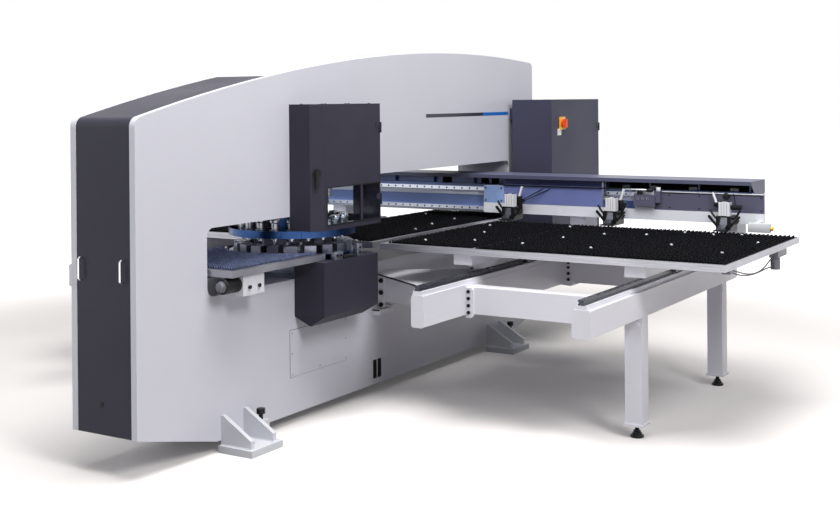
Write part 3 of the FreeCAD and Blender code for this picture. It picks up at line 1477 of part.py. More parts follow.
def x_carriage():
    """Carriage bar with its plates and bearing shoes, and the dark panel beside the valve block."""
    right = d.carriage_half + d.bar_over
    face = bar_front + d.panel_recess
    bar = block("bar", (d.bar_left, right), (bar_front, bar_back), (d.bar_bottom, d.bar_top))
    plate = block(
        "bar_end_plate", (d.bar_left, d.bar_left + d.end_plate_length), (face, bar_back),
        (d.bar_bottom, d.panel_top),
    )
    valve_right = d.valve_left + d.valve_length
    panel_left = valve_right - d.panel_lap
    carrier = block(
        "valve_carrier", (d.valve_left, panel_left), (face, bar_back), (d.bar_bottom, d.panel_top),
    )
    wide = d.x_rail_wide / 2 + d.running_gap
    lip = d.shoe_lip
    back, roof = bar_back + d.bar_stand_off + lip, bar_back + d.bar_stand_off - d.running_gap
    shoe_places = (d.bar_left + d.shoe_inset, (d.valve_left + valve_right) / 2, right - d.shoe_inset)
    shoes = []
    for name, z in (("low", d.x_rail_low), ("high", d.x_rail_high)):
        for index, x in enumerate(shoe_places, start=1):
            piece = Piece(f"shoe_{name}_{index}")
            section = piece.sketch("YZ_Plane", -d.shoe_length / 2)
            outline(section, [
                (bar_back, z - wide - lip), (back, z - wide - lip), (back, z - wide), (roof, z - wide),
                (roof, z + wide), (back, z + wide), (back, z + wide + lip), (bar_back, z + wide + lip),
            ])
            piece.pad(section, d.shoe_length)
            piece.move(x=x)
            shoes.append(piece.body)
    keep(fuse("x_carriage", [bar, plate, carrier] + shoes))
    keep(fuse("x_panel", [
        block("panel", (panel_left, right), (face, bar_back), (d.bar_top, d.panel_top)),
        block(
            "valve_block", (d.valve_left, valve_right), (face - d.valve_deep, face),
            (d.valve_bottom, d.valve_top),
        ),
        block(
            "valve_bracket", (valve_right, valve_right + d.valve_bracket), (face - d.bracket_deep, face),
            (d.bracket_bottom, d.panel_top),
        ),
    ]))


pivot_z = d.sheet_plane + d.pivot_rise
clamp_top = pivot_z + d.pivot_cover


def clamp_body(label, x):
    """Clamp body: base on the carriage bar, thin lower jaw, two cheeks with the pivot pin, side arms."""
    wide = d.clamp_width / 2
    slot = wide - d.cheek_width
    sheet_z = d.sheet_plane
    parts = [
        block(f"{label}_jaw", (-wide, wide), (d.clamp_tip, d.clamp_base), (d.jaw_bottom, sheet_z)),
        block(f"{label}_base", (-wide, wide), (d.clamp_base, bar_front), (d.jaw_bottom, clamp_top)),
    ]
    for side in (-1, 1):
        span = (slot, wide) if side > 0 else (-wide, -slot)
        parts.append(block(
            f"{label}_cheek_{side + 2}", span, (d.cheek_front, d.clamp_base), (sheet_z, clamp_top),
        ))
        piece = Piece(f"{label}_arm_{side + 2}")
        arm = piece.sketch("XZ_Plane", -(d.cheek_front + d.arm_back))
        root_z, tip_z = sheet_z + d.arm_thick, clamp_top + d.arm_over
        corners = [
            (side * wide, root_z), (side * (wide + d.arm_reach), tip_z - d.arm_thick),
            (side * (wide + d.arm_reach), tip_z), (side * (wide + d.arm_reach - d.arm_tip), tip_z),
            (side * wide, root_z + d.arm_root),
        ]
        outline(arm, corners if side > 0 else corners[::-1])
        piece.pad(arm, d.arm_thick)
        parts.append(piece.body)
    pin = doc.addObject("Part::Cylinder", f"{label}_pin")
    pin.setExpression("Radius", d.pivot_radius.text)
    pin.setExpression("Height", d.clamp_width.text)
    pin.Placement.Rotation = FreeCAD.Rotation(FreeCAD.Vector(0, 1, 0), 90)
    place(pin, -wide, d.pivot_back, pivot_z)
    parts.append(pin)
    body = fuse(label, parts)
    return place(body, x)


def clamp_jaw(label, x):
    """Upper jaw of a clamp: tongue over the lower jaw, pivot hole and the tail under the cylinder."""
    wide = d.clamp_width / 2 - d.cheek_width - d.jaw_side_gap
    shut = d.sheet_plane + d.jaw_opening
    tip, pivot_y, head, eye = d.clamp_tip + 2, d.pivot_back, pivot_z + d.jaw_head, d.jaw_eye
    piece = Piece(label)
    section = piece.sketch("YZ_Plane", -wide)
    outline(section, [
        (tip, shut), (pivot_y - eye * 2 / 3, shut), (pivot_y + eye, shut + eye * 2 / 3),
        (pivot_y + eye, head - eye), (pivot_y + eye / 5, head), (pivot_y - eye, head),
        (pivot_y - eye * 2, pivot_z - eye / 3), (tip, shut + d.jaw_tip_high),
    ])
    round_outline(section, pivot_y, pivot_z, d.pivot_radius + d.running_gap)
    piece.pad(section, wide * 2)
    piece.move(x=x)
    piece.done()


def clamps():
    """Three workholder clamps: bodies, cylinder blocks and the moving upper jaws."""
    bodies, cylinders = [], []
    for index, x in enumerate((d.clamp_first, d.clamp_second, d.clamp_third), start=1):
        bodies.append(clamp_body(f"clamp_{index}", x))
        clamp_jaw(f"clamp_jaw_{index}", x)
        wide = d.cylinder_width / 2
        cylinders.append(block(
            f"cylinder_{index}", (x - wide, x + wide),
            (d.cylinder_front, d.cylinder_front + d.cylinder_depth),
            (clamp_top, clamp_top + d.cylinder_high),
        ))
    keep(group("clamp_bodies", bodies))
    keep(group("clamp_cylinders", cylinders))


# --- cabinet ---------------------------------------------------------------------------------------

def cabinet():
    """Control cabinet beside the rear end of the frame, with its mounting brackets, door and switch."""
    left, face, inset = d.cabinet_inner, d.cabinet_inner + d.cabinet_depth, d.bracket_inset
    front, rear = d.cabinet_front, d.cabinet_front + d.cabinet_length
    low, high, wall = d.cabinet_bottom, d.cabinet_top, d.cabinet_wall
    piece = Piece("cabinet_shell")
    shell = piece.sketch("YZ_Plane", left)
    rectangle(shell, front, rear, low, high)
    piece.pad(shell, d.cabinet_depth)
    room = piece.sketch("YZ_Plane", left + wall)
    rectangle(room, front + wall, rear - wall, low + wall, high - wall)
    flange = d.cabinet_flange
    piece.pocket(room, d.cabinet_depth - wall * 2, reversed_side=True)
    mouth = piece.sketch("YZ_Plane", face - wall * 2)
    rectangle(mouth, front + flange, rear - flange, low + flange, high - flange)
    piece.pocket(mouth, wall * 3, reversed_side=True)
    brackets = [
        block(
            f"cabinet_bracket_{index}", (half, left), (front + inset, rear_end - d.core_inset),
            (z, z + d.cabinet_bracket),
        )
        for index, z in enumerate((low + inset, high - inset - d.cabinet_bracket), start=1)
    ]
    axis_x, axis_y = face + d.knuckle_radius + d.cover_wall, rear
    moving, fixed = hinge_heights(low, high)
    leaves = [
        block(f"cabinet_leaf_{index}", (face - d.leaf_length, axis_x), (rear, rear + d.leaf_thick), pair)
        for index, pair in enumerate(fixed, start=1)
    ]
    keep(fuse("cabinet_body", [piece.body] + brackets + leaves + knuckles("cab_pin", axis_x, axis_y, fixed)))
    gap, skin = d.door_gap, face + d.cover_wall
    door = block("cabinet_door_sheet", (face + gap, skin), (front, rear - gap), (low, high))
    plates = [
        block(f"cab_door_leaf_{index}", (skin, skin + d.leaf_thick), (rear - d.leaf_length, rear), pair)
        for index, pair in enumerate(moving, start=1)
    ]
    keep(fuse("cabinet_door", [door] + plates + knuckles("cab_knuckle", axis_x, axis_y, moving)))
    side = d.switch_plate_side / 2
    keep(block(
        "switch_plate", (skin, skin + d.switch_plate_thick),
        (d.switch_back - side, d.switch_back + side), (d.switch_height - side, d.switch_height + side),
    ))
    base = skin + d.switch_plate_thick + 0.3
    disc = prism("switch_disc", 0, 0, (0, d.switch_disc_thick), d.switch_radius, DISC_SIDES)
    grip_wide, grip_long = d.switch_grip / 2, d.switch_radius
    grip = block(
        "switch_bar", (-grip_long, grip_long), (-grip_wide, grip_wide),
        (d.switch_disc_thick, d.switch_disc_thick + d.switch_grip),
    )
    handle = fuse("switch_handle", [disc, grip])
    handle.Placement.Rotation = FreeCAD.Rotation(FreeCAD.Vector(0, 1, 0), 90)
    keep(place(handle, base, d.switch_back, d.switch_height))


# --- sensor and its cables -------------------------------------------------------------------------

CABLE_ROUTES = {
    # Points of the two cables from the clip at the front corner to the sensor, (x, y, z).
    "sensor_cable_1": [
        (2399, -262, 889), (2399, -208, 889), (2404, -109, 869), (2407, -8, 847), (2408, 94, 833),
        (2408, 198, 827), (2406, 300, 831), (2403, 402, 846), (2400, 498, 868), (2400, 560, 868),
    ],
    "sensor_cable_2": [
        (2386, -262, 886), (2386, -206, 886), (2390, -106, 856), (2395, -4, 837), (2397, 98, 826),
        (2398, 202, 821), (2397, 304, 820), (2396, 406, 823), (2395, 502, 819), (2395, 556, 819),
    ],
}


def ring_of_sides(centre, normal, radius, sides):
    """A regular closed outline of so many sides about a centre, square to a direction."""
    turn = FreeCAD.Rotation(FreeCAD.Vector(0, 0, 1), normal)
    corners = []
    count = int(sides)
    for index in range(count):
        angle = 2 * math.pi * index / count
        spoke = FreeCAD.Vector(radius * math.cos(angle), radius * math.sin(angle), 0)
        corners.append(centre + turn.multVec(spoke))
    return Part.makePolygon(corners + corners[:1])


def cable(label, points):
    """A free cable: straight runs joined by the largest tangent arcs that its points allow."""
    spots = [FreeCAD.Vector(*point) for point in points]
    edges, radii = [], []
    start = spots[0]
    for before, corner, after in zip(spots, spots[1:], spots[2:]):
        incoming, outgoing = corner - before, after - corner
        turn = incoming.getAngle(outgoing)
        reach = 0.45 * min(incoming.Length, outgoing.Length)
        radii.append(reach / math.tan(turn / 2))
        first = corner - incoming.normalize() * reach
        last = corner + outgoing.normalize() * reach
        middle = corner + (first + last - corner * 2).normalize() * (
            radii[-1] / math.cos(turn / 2) - radii[-1]
        )
        edges.append(Part.LineSegment(start, first).toShape())
        edges.append(Part.Arc(first, middle, last).toShape())
        start = last
    edges.append(Part.LineSegment(start, spots[-1]).toShape())
    path = Part.Wire(edges)
    direction = spots[1] - spots[0]
    section = Part.Wire(ring_of_sides(spots[0], direction, d.cable_radius.value * 1.1, HEXAGON))
    made = doc.addObject("Part::Feature", label)
    made.Label = label
    made.Shape = path.makePipeShell([section], True, False)
    section_area = Part.Face(section).Area
    print(label, "length", round(path.Length, 1), "radii", [round(radius) for radius in radii])
    print(label, "volume over section x length", round(made.Shape.Volume / section_area / path.Length, 4))
    return keep(made)


def sensor():
    """Bracket under the right rear corner of the wing table with a round sensor, and the cable clip."""
    outer = d.wing_outer
    front, shelf = d.sensor_back, d.table_bottom - d.sensor_high
    bracket = block(
        "sensor_bracket", (outer - d.sensor_width, outer), (front, front + d.sensor_length),
        (shelf, d.table_bottom),
    )
    can_x, can_y = outer - d.sensor_width / 2, front + d.sensor_radius + 8
    can = rod("sensor_can", can_x, can_y, (shelf - d.sensor_drop, shelf), d.sensor_radius)
    plug_x, plug_y, plug_z = CABLE_ROUTES["sensor_cable_2"][-1]
    wide = d.gland_width / 2
    gland = block(
        "sensor_gland", (plug_x - wide, plug_x + wide), (plug_y, can_y), (plug_z - wide, plug_z + wide),
    )
    start_x, start_y, _start_z = CABLE_ROUTES["sensor_cable_1"][0]
    clip = block(
        "cable_clip", (start_x - d.clip_width, outer), (start_y - d.clip_length, start_y),
        (d.table_bottom - d.clip_high, d.table_bottom),
    )
    keep(group("sensor_unit", [fuse("sensor_body", [bracket, can, gland]), clip]))
    for label, points in CABLE_ROUTES.items():
        cable(label, points)


# --- the whole machine -----------------------------------------------------------------------------

side_plate("side_plate_right", 1)
side_plate("side_plate_left", -1)
frame_core()
end_cover("front_cover", front_end, -1, d.front_round, -d.cover_split, d.front_toe_height)
top_cover()
end_cover("rear_cover", rear_end, 1, d.rear_round, rear_end - d.rear_turn, d.rear_toe_height)
pull_handles()
access_panel()
frame_feet()
turrets()
punch_tools()
die_blocks()
spindles()
ram()
head_cover("head_cover_right", 1)
head_cover("head_cover_left", -1)
head_door()
head_latch()
lower_covers()
centre_tables()
supports()
wing("right", 1, d.wing_outer)
wing("left", -1, d.wing_outer_left)
channels()
bearing_blocks()
carriage_beam()
beam_cover()
x_rails()
x_carriage()
clamps()
cabinet()
sensor()
doc.recompute()

for thing in doc.Objects:
    if "Invalid" in thing.State or "Error" in thing.State:
        raise RuntimeError(f"{thing.Name} did not recompute: {thing.State}")
for label, piece in NODES.items():
    if piece.Shape.isNull() or not piece.Shape.isValid():
        raise RuntimeError(f"{label} has no valid shape")
for label, piece in NODES.items():
    piece.Shape.exportStep(f"parts/{label}.step")
print(len(NODES), "nodes")
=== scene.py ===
"""Dresses a turret punch press: finishes for every part, brush fields, tools, clamps, cables and fastenings.

All places are in metres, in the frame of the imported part: X across the machine towards the wider wing
table, Y from the front end of the frame to the rear, Z up from the floor.
"""

import logging
import math
from dataclasses import dataclass, field
from enum import Enum
from functools import cache, cached_property
from itertools import product

import bpy
import numpy as np
from mathutils import Euler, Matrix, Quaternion, Vector

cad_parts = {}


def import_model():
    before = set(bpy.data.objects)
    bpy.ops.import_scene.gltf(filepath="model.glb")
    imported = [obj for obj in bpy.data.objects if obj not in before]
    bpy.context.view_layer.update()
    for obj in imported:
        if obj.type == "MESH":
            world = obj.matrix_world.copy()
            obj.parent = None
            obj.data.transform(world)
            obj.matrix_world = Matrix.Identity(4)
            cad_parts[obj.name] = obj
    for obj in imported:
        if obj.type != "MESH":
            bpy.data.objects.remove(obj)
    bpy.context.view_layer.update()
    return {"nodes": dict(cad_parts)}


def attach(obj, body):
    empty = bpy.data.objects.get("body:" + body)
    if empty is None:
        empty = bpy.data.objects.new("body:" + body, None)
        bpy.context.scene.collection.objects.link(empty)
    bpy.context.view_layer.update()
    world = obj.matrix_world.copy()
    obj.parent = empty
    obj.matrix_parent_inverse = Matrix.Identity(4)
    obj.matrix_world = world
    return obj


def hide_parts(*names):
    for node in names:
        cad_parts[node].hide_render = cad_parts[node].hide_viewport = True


LOG = logging.getLogger("press")
POINT = tuple[float, float, float]
SPAN = tuple[float, float]
NODE, TREE, SOCKET = bpy.types.Node, bpy.types.NodeTree, bpy.types.NodeSocket
SOCKET_KINDS = {1: "NodeSocketFloat", 3: "NodeSocketVector", 4: "NodeSocketColor"}
ALONG_X: POINT = (1.0, 0.0, 0.0)
ALONG_Y: POINT = (0.0, 1.0, 0.0)
ALONG_Z: POINT = (0.0, 0.0, 1.0)


# ---------------------------------------------------------------------------------------------------
# Shader nodes and finishes
# ---------------------------------------------------------------------------------------------------


def screen(red: int, green: int, blue: int) -> POINT:
    """Turns a screen colour of 0 to 255 into the linear colour that shaders use.

    Args:
        red: red part, 0 to 255.
        green: green part, 0 to 255.
        blue: blue part, 0 to 255.

    Returns:
        The three linear parts, 0 to 1.
    """
    share = np.array([red, green, blue]) / 255.0
    linear = np.where(share <= 0.04045, share / 12.92, ((share + 0.055) / 1.055) ** 2.4)
    return tuple(float(part) for part in linear)


def add_node(tree: TREE, kind: str, inputs: dict, **settings: object) -> NODE:
    """Adds a node; an input is linked where its value is a socket, and set to the value elsewhere.

    Args:
        tree: the node tree.
        kind: type of the node.
        inputs: name or number of each input to its value or socket.
        settings: properties of the node, set before the inputs.

    Returns:
        The node.
    """
    made = tree.nodes.new(kind)
    for key, value in settings.items():
        setattr(made, key, value)
    for key, value in inputs.items():
        if isinstance(value, SOCKET):
            tree.links.new(value, made.inputs[key])
        else:
            made.inputs[key].default_value = value
    return made


class Grain(Enum):
    """Direction in which a metal was ground or drawn, as the stretch of its scratches."""

    ALONG_X = (1.0, 40.0, 40.0)
    ALONG_Y = (40.0, 1.0, 40.0)
    ALONG_Z = (40.0, 40.0, 1.0)


class GroupMaker:
    """Builds the shader node groups that the finishes share, each one at its first use."""

    @staticmethod
    def _noise(tree: TREE, source: SOCKET, scale: float | SOCKET, detail: float, rough: float) -> SOCKET:
        """Gives the grey value of a noise texture over a point; the scale is a number or a socket."""
        inputs = {"Vector": source, "Scale": scale, "Detail": detail, "Roughness": rough}
        return add_node(tree, "ShaderNodeTexNoise", inputs).outputs["Fac"]

    @staticmethod
    def _range(tree: TREE, source: SOCKET, low: float | SOCKET, high: float | SOCKET,
               to_low: float | SOCKET = 0.0, to_high: float | SOCKET = 1.0) -> SOCKET:
        """Maps a value from low..high to to_low..to_high; each bound is a number or a socket."""
        inputs = {"Value": source, "From Min": low, "From Max": high, "To Min": to_low, "To Max": to_high}
        return add_node(tree, "ShaderNodeMapRange", inputs).outputs["Result"]

    @staticmethod
    def _mix(tree: TREE, share: SOCKET, first: SOCKET, second: SOCKET) -> SOCKET:
        """Mixes two colour sockets by a share."""
        return add_node(tree, "ShaderNodeMix", {0: share, 6: first, 7: second}, data_type="RGBA").outputs[2]

    @staticmethod
    def _start(name: str, inputs: dict) -> tuple:
        """Makes an empty group with outputs for colour, roughness and normal.

        Args:
            name: name of the group.
            inputs: name of each input to its default: a number, a vector or a colour of four parts.

        Returns:
            The group, its input sockets and its object point socket.
        """
        tree = bpy.data.node_groups.new(name, "ShaderNodeTree")
        for label, value in inputs.items():
            kind = SOCKET_KINDS[np.size(value)]
            tree.interface.new_socket(name=label, in_out="INPUT", socket_type=kind).default_value = value
        for label, size in (("Color", 4), ("Roughness", 1), ("Normal", 3)):
            tree.interface.new_socket(name=label, in_out="OUTPUT", socket_type=SOCKET_KINDS[size])
        point = add_node(tree, "ShaderNodeTexCoord", {}).outputs["Object"]
        return tree, add_node(tree, "NodeGroupInput", {}).outputs, point

    @staticmethod
    def _end(tree: TREE, colour: SOCKET, rough: SOCKET, height: SOCKET, depth: SOCKET) -> TREE:
        """Feeds the outputs of a group.

        Args:
            tree: the group.
            colour: colour socket.
            rough: roughness socket.
            height: socket of the height of the bumps, one for a millimetre.
            depth: socket of the strength of the bumps.

        Returns:
            The group.
        """
        bump = add_node(tree, "ShaderNodeBump", {"Distance": 0.001, "Height": height, "Strength": depth})
        outputs = {"Color": colour, "Roughness": rough, "Normal": bump.outputs["Normal"]}
        add_node(tree, "NodeGroupOutput", outputs)
        return tree

    @cached_property
    def paint(self) -> TREE:
        """Sprayed paint: broad drift of tone, fine speckle and orange peel.

        Returns:
            The group.
        """
        tree, given, point = self._start("sprayed_paint", {
            "Color": (0.5, 0.5, 0.5, 1.0), "Shade": (0.4, 0.4, 0.4, 1.0), "Drift Scale": 1.6, "Drift": 0.4,
            "Speckle": 0.1, "Peel Scale": 420.0, "Peel Depth": 0.05, "Low Gloss": 0.5, "High Gloss": 0.35})
        drift = self._noise(tree, point, given["Drift Scale"], 4.0, 0.55)
        speckle = self._noise(tree, point, 900.0, 1.0, 0.5)
        peel = self._noise(tree, point, given["Peel Scale"], 2.0, 0.5)
        share = add_node(tree, "ShaderNodeMath", {
            0: self._range(tree, drift, 0.35, 0.75, 0.0, given["Drift"]),
            1: self._range(tree, speckle, 0.45, 0.8, 0.0, given["Speckle"])}, operation="ADD", use_clamp=True)
        colour = self._mix(tree, share.outputs[0], given["Color"], given["Shade"])
        rough = self._range(tree, drift, 0.3, 0.7, given["High Gloss"], given["Low Gloss"])
        return self._end(tree, colour, rough, peel, given["Peel Depth"])

    @cached_property
    def ground_metal(self) -> TREE:
        """Ground metal: long fine scratches along one axis, with broad changes of gloss.

        Returns:
            The group.
        """
        tree, given, point = self._start("ground_metal", {
            "Color": (0.6, 0.6, 0.6, 1.0), "Shade": (0.5, 0.5, 0.5, 1.0), "Stretch": Grain.ALONG_X.value,
            "Fineness": 14.0, "Scratch Depth": 0.08, "Low Gloss": 0.5, "High Gloss": 0.28})
        drawn = add_node(tree, "ShaderNodeVectorMath", {0: point, 1: given["Stretch"]}, operation="MULTIPLY")
        scratch = self._noise(tree, drawn.outputs[0], given["Fineness"], 3.0, 0.6)
        broad = self._noise(tree, point, 5.0, 3.0, 0.5)
        colour = self._mix(tree, self._range(tree, scratch, 0.3, 0.7), given["Color"], given["Shade"])
        rough = self._range(tree, broad, 0.3, 0.7, given["High Gloss"], given["Low Gloss"])
        return self._end(tree, colour, rough, scratch, given["Scratch Depth"])

    @cached_property
    def bristle(self) -> TREE:
        """Bristle tufts: painted shade darkens them towards the root, lighter at the tip, and no two tufts
        quite alike.

        Returns:
            The group.
        """
        tree, given, point = self._start("bristle_tufts", {
            "Root": (0.002, 0.002, 0.003, 1.0), "Tip": (0.02, 0.02, 0.02, 1.0), "Root Height": 0.91,
            "Tip Height": 0.946, "Strand Depth": 0.4})
        # Painted shade: darker towards the roots, where the tufts shade each other.
        level = add_node(tree, "ShaderNodeSeparateXYZ", {0: point}).outputs["Z"]
        height = self._range(tree, level, given["Root Height"], given["Tip Height"])
        patch = self._noise(tree, point, 38.0, 2.0, 0.5)
        blend = add_node(tree, "ShaderNodeMath", {0: height, 1: patch}, operation="MULTIPLY")
        colour = self._mix(tree, blend.outputs[0], given["Root"], given["Tip"])
        strand = self._noise(tree, point, 1400.0, 1.0, 0.5)
        rough = self._range(tree, patch, 0.3, 0.7, 0.55, 0.8)
        return self._end(tree, colour, rough, strand, given["Strand Depth"])


GROUPS = GroupMaker()


@dataclass(frozen=True)
class Finish:
    """A finish: its name and its main colour on screen, 0 to 255."""

    name: str
    colour: tuple[int, int, int]

    def tone(self, share: float = 1.0) -> tuple[float, ...]:
        """Gives the linear colour, darkened to a share of itself, with full opacity."""
        return (*(part * share for part in screen(*self.colour)), 1.0)

    def shaded(self, tree: TREE, values: dict, others: dict) -> bpy.types.Material:
        """Makes a material whose Principled shader takes colour, roughness and normal from a group.

        Args:
            tree: the node group.
            values: value of each of the group's inputs.
            others: values of other inputs of the shader.

        Returns:
            The material.
        """
        material = bpy.data.materials.new(self.name)
        material.use_nodes = True
        shader = material.node_tree.nodes["Principled BSDF"]
        group = add_node(material.node_tree, "ShaderNodeGroup", values, node_tree=tree)
        for source, target in (("Color", "Base Color"), ("Roughness", "Roughness"), ("Normal", "Normal")):
            material.node_tree.links.new(group.outputs[source], shader.inputs[target])
        for key, value in others.items():
            shader.inputs[key].default_value = value
        return material

    @cache
    def made(self) -> bpy.types.Material:
        """Gives the material of this finish, built at the first call."""
        return self.build()

    def build(self) -> bpy.types.Material:
        """Builds the material; each kind of finish has its own."""
        raise NotImplementedError


@dataclass(frozen=True)
class Paint(Finish):
    """Sprayed or powder coated paint, and moulded plastic."""

    drift: float = 0.35
    speckle: float = 0.05
    peel_scale: float = 380.0
    peel_depth: float = 0.05
    gloss: SPAN = (0.34, 0.46)
    shade: float = 0.86
    coat: float = 0.0
    drift_scale: float = 1.3
    specular: float = 0.5

    def build(self) -> bpy.types.Material:
        """Builds the painted material."""
        return self.shaded(GROUPS.paint, {
            "Color": self.tone(), "Shade": self.tone(self.shade), "Drift Scale": self.drift_scale,
            "Drift": self.drift, "Speckle": self.speckle, "Peel Scale": self.peel_scale,
            "Peel Depth": self.peel_depth, "High Gloss": self.gloss[0], "Low Gloss": self.gloss[1]},
            {"Specular IOR Level": self.specular, "Coat Weight": self.coat, "Coat Roughness": 0.12})


@dataclass(frozen=True)
class Metal(Finish):
    """Ground, drawn or polished metal."""

    grain: Grain
    fineness: float
    depth: float
    gloss: SPAN
    shade: float

    def build(self) -> bpy.types.Material:
        """Builds the metal."""
        return self.shaded(GROUPS.ground_metal, {
            "Color": self.tone(), "Shade": self.tone(self.shade), "Stretch": self.grain.value,
            "Fineness": self.fineness, "Scratch Depth": self.depth, "High Gloss": self.gloss[0],
            "Low Gloss": self.gloss[1]}, {"Metallic": 1.0})


@dataclass(frozen=True)
class Bristle(Finish):
    """Nylon bristles, coloured by their height between root and tip, with painted shade darkening the roots."""

    root_height: float = 0.908
    tip_height: float = 0.946
    root_shade_share: float = 0.08

    def build(self) -> bpy.types.Material:
        """Builds the bristle material."""
        return self.shaded(GROUPS.bristle, {
            "Root": self.tone(self.root_shade_share), "Tip": self.tone(), "Root Height": self.root_height,
            "Tip Height": self.tip_height, "Strand Depth": 0.35}, {"Specular IOR Level": 0.12})


@dataclass(frozen=True)
class Clear(Finish):
    """A clear plastic pane with a faint tint and a slightly uneven face."""

    def build(self) -> bpy.types.Material:
        """Builds the clear material."""
        return self.shaded(GROUPS.paint, {
            "Color": self.tone(), "Shade": self.tone(0.95), "Drift Scale": 3.0, "Drift": 0.5, "Speckle": 0.0,
            "Peel Scale": 40.0, "Peel Depth": 0.01, "High Gloss": 0.03, "Low Gloss": 0.07},
            {"Transmission Weight": 1.0, "IOR": 1.12, "Specular IOR Level": 0.4})


PLATE = Paint("plate_grey", (216, 216, 226), drift=0.3, gloss=(0.32, 0.42))
EDGE_GREY = Paint("cover_grey", (204, 204, 214), drift=0.3, gloss=(0.34, 0.44))
CHARCOAL = Paint("charcoal_cover", (52, 51, 64), drift=0.5, speckle=0.35, peel_scale=900.0,
                 peel_depth=0.25, gloss=(0.42, 0.55), shade=0.7, specular=0.2)
HOOD = Paint("hood_grey", (86, 88, 112), drift=0.4, speckle=0.25, peel_scale=900.0, peel_depth=0.18,
             gloss=(0.34, 0.48), shade=0.78, specular=0.3)
SLOT_COVER = Paint("slot_cover", (86, 94, 158), drift=0.5, speckle=0.1, gloss=(0.3, 0.42), shade=0.75)
CABINET = Paint("cabinet_grey", (68, 68, 88), drift=0.5, speckle=0.3, peel_scale=900.0,
                peel_depth=0.22, gloss=(0.42, 0.55), shade=0.75, specular=0.2)
SUPPORT = Paint("support_white", (230, 229, 237), drift=0.25, gloss=(0.34, 0.46), shade=0.9)
FOOT = Paint("foot_grey", (214, 216, 222), drift=0.5, speckle=0.1, peel_scale=240.0, peel_depth=0.12,
             gloss=(0.4, 0.55), shade=0.82)
ALUMINIUM = Metal("drawn_aluminium", (186, 186, 194), Grain.ALONG_X, 5.0, 0.06, (0.3, 0.46), 0.7)
# Painted blue light: the turret steel's blue tint stands for blue light falling on it.
TURRET = Metal("turret_steel_painted_blue_light", (52, 80, 128), Grain.ALONG_X, 3.0, 0.05, (0.2, 0.34), 0.75)
SPINDLE = Metal("spindle_steel", (128, 134, 150), Grain.ALONG_Z, 8.0, 0.05, (0.24, 0.38), 0.75)
TOOL = Metal("ground_tool_steel", (176, 178, 188), Grain.ALONG_Z, 12.0, 0.05, (0.16, 0.28), 0.8)
DIE = Metal("ground_die_steel", (142, 146, 160), Grain.ALONG_X, 8.0, 0.06, (0.3, 0.44), 0.82)
RAM = Metal("ground_ram_steel", (170, 173, 180), Grain.ALONG_Z, 12.0, 0.05, (0.18, 0.32), 0.8)
RAIL = Metal("rail_steel", (74, 76, 86), Grain.ALONG_Y, 12.0, 0.05, (0.22, 0.36), 0.72)
BEARING = Paint("bearing_green_grey", (92, 94, 104), drift=0.5, speckle=0.2, gloss=(0.34, 0.46), shade=0.7,
                specular=0.3)
# Painted light: cross rails and rack are lightened and tinted blue to stand for blue light on faces that the
# hood shades.
CROSS_RAIL = Metal("cross_rail_steel_painted_blue_light", (236, 241, 255), Grain.ALONG_X, 12.0, 0.05, (0.26, 0.4), 0.84)
RACK = Paint("rack_painted_blue_light", (236, 242, 255), drift=0.4, speckle=0.1, gloss=(0.24, 0.36), shade=0.7, coat=0.2)
POLISHED = Metal("polished_handle", (228, 229, 232), Grain.ALONG_Z, 8.0, 0.02, (0.1, 0.18), 0.92)
ZINC = Metal("zinc_screw", (182, 184, 190), Grain.ALONG_Z, 20.0, 0.05, (0.3, 0.45), 0.8)
# Painted reflection: the light blue of blue light on the left end of the carriage plate.
END_REFLECTION = Paint("end_plate_painted_blue_reflection", (146, 176, 230), drift=0.8, speckle=0.05, gloss=(0.2, 0.3), shade=0.6,
                 drift_scale=6.0, coat=0.2)
# Clamp plate: grey paint carrying a painted reflection of blue light.
CLAMP_PLATE = Paint("clamp_plate_grey_painted_blue_reflection", (120, 132, 190), drift=0.8, speckle=0.1, gloss=(0.26, 0.38),
                    shade=0.7, drift_scale=2.2)
# Painted blue light: a blue tint over the beam's grey paint.
BEAM = Paint("beam_grey_painted_blue_light", (116, 138, 196), drift=0.7, speckle=0.1, gloss=(0.26, 0.38), shade=0.7,
             drift_scale=0.9)
PANEL = Paint("panel_violet_grey", (92, 91, 112), drift=0.4, speckle=0.2, peel_scale=900.0,
              peel_depth=0.15, gloss=(0.36, 0.5), shade=0.8, specular=0.3)
BAR = Paint("carriage_bar", (236, 238, 246), drift=0.5, speckle=0.05, peel_scale=120.0, peel_depth=0.03,
            gloss=(0.2, 0.3), shade=0.8, coat=0.2, drift_scale=2.2)
BLACK_STEEL = Paint("blackened_steel", (21, 21, 25), drift=0.6, speckle=0.2, peel_scale=600.0,
                    peel_depth=0.2, gloss=(0.3, 0.46), shade=0.6, specular=0.25)
BLACK_PLASTIC = Paint("black_plastic", (15, 15, 18), drift=0.4, speckle=0.1, peel_scale=1200.0,
                      peel_depth=0.1, gloss=(0.35, 0.5), shade=0.7, specular=0.25)
DARK_GREY = Paint("dark_casting", (66, 67, 78), drift=0.6, speckle=0.3, peel_scale=500.0,
                  peel_depth=0.3, gloss=(0.4, 0.55), shade=0.7, specular=0.3)
CYLINDER = Paint("cylinder_white", (240, 240, 244), drift=0.2, gloss=(0.2, 0.32), shade=0.9, coat=0.3)
GROOVE = Paint("groove_grey", (150, 152, 160), drift=0.3, gloss=(0.5, 0.6), shade=0.8)
JAW = Metal("ground_jaw_steel", (110, 112, 120), Grain.ALONG_X, 10.0, 0.1, (0.3, 0.45), 0.75)
YELLOW = Paint("signal_yellow", (246, 196, 24), drift=0.2, gloss=(0.28, 0.4), shade=0.85, coat=0.2)
RED = Paint("signal_red", (232, 84, 40), drift=0.2, gloss=(0.28, 0.4), shade=0.85, coat=0.2)
TOOL_BLUE = Paint("tool_blue", (34, 72, 190), drift=0.3, gloss=(0.25, 0.4), shade=0.75, coat=0.2)
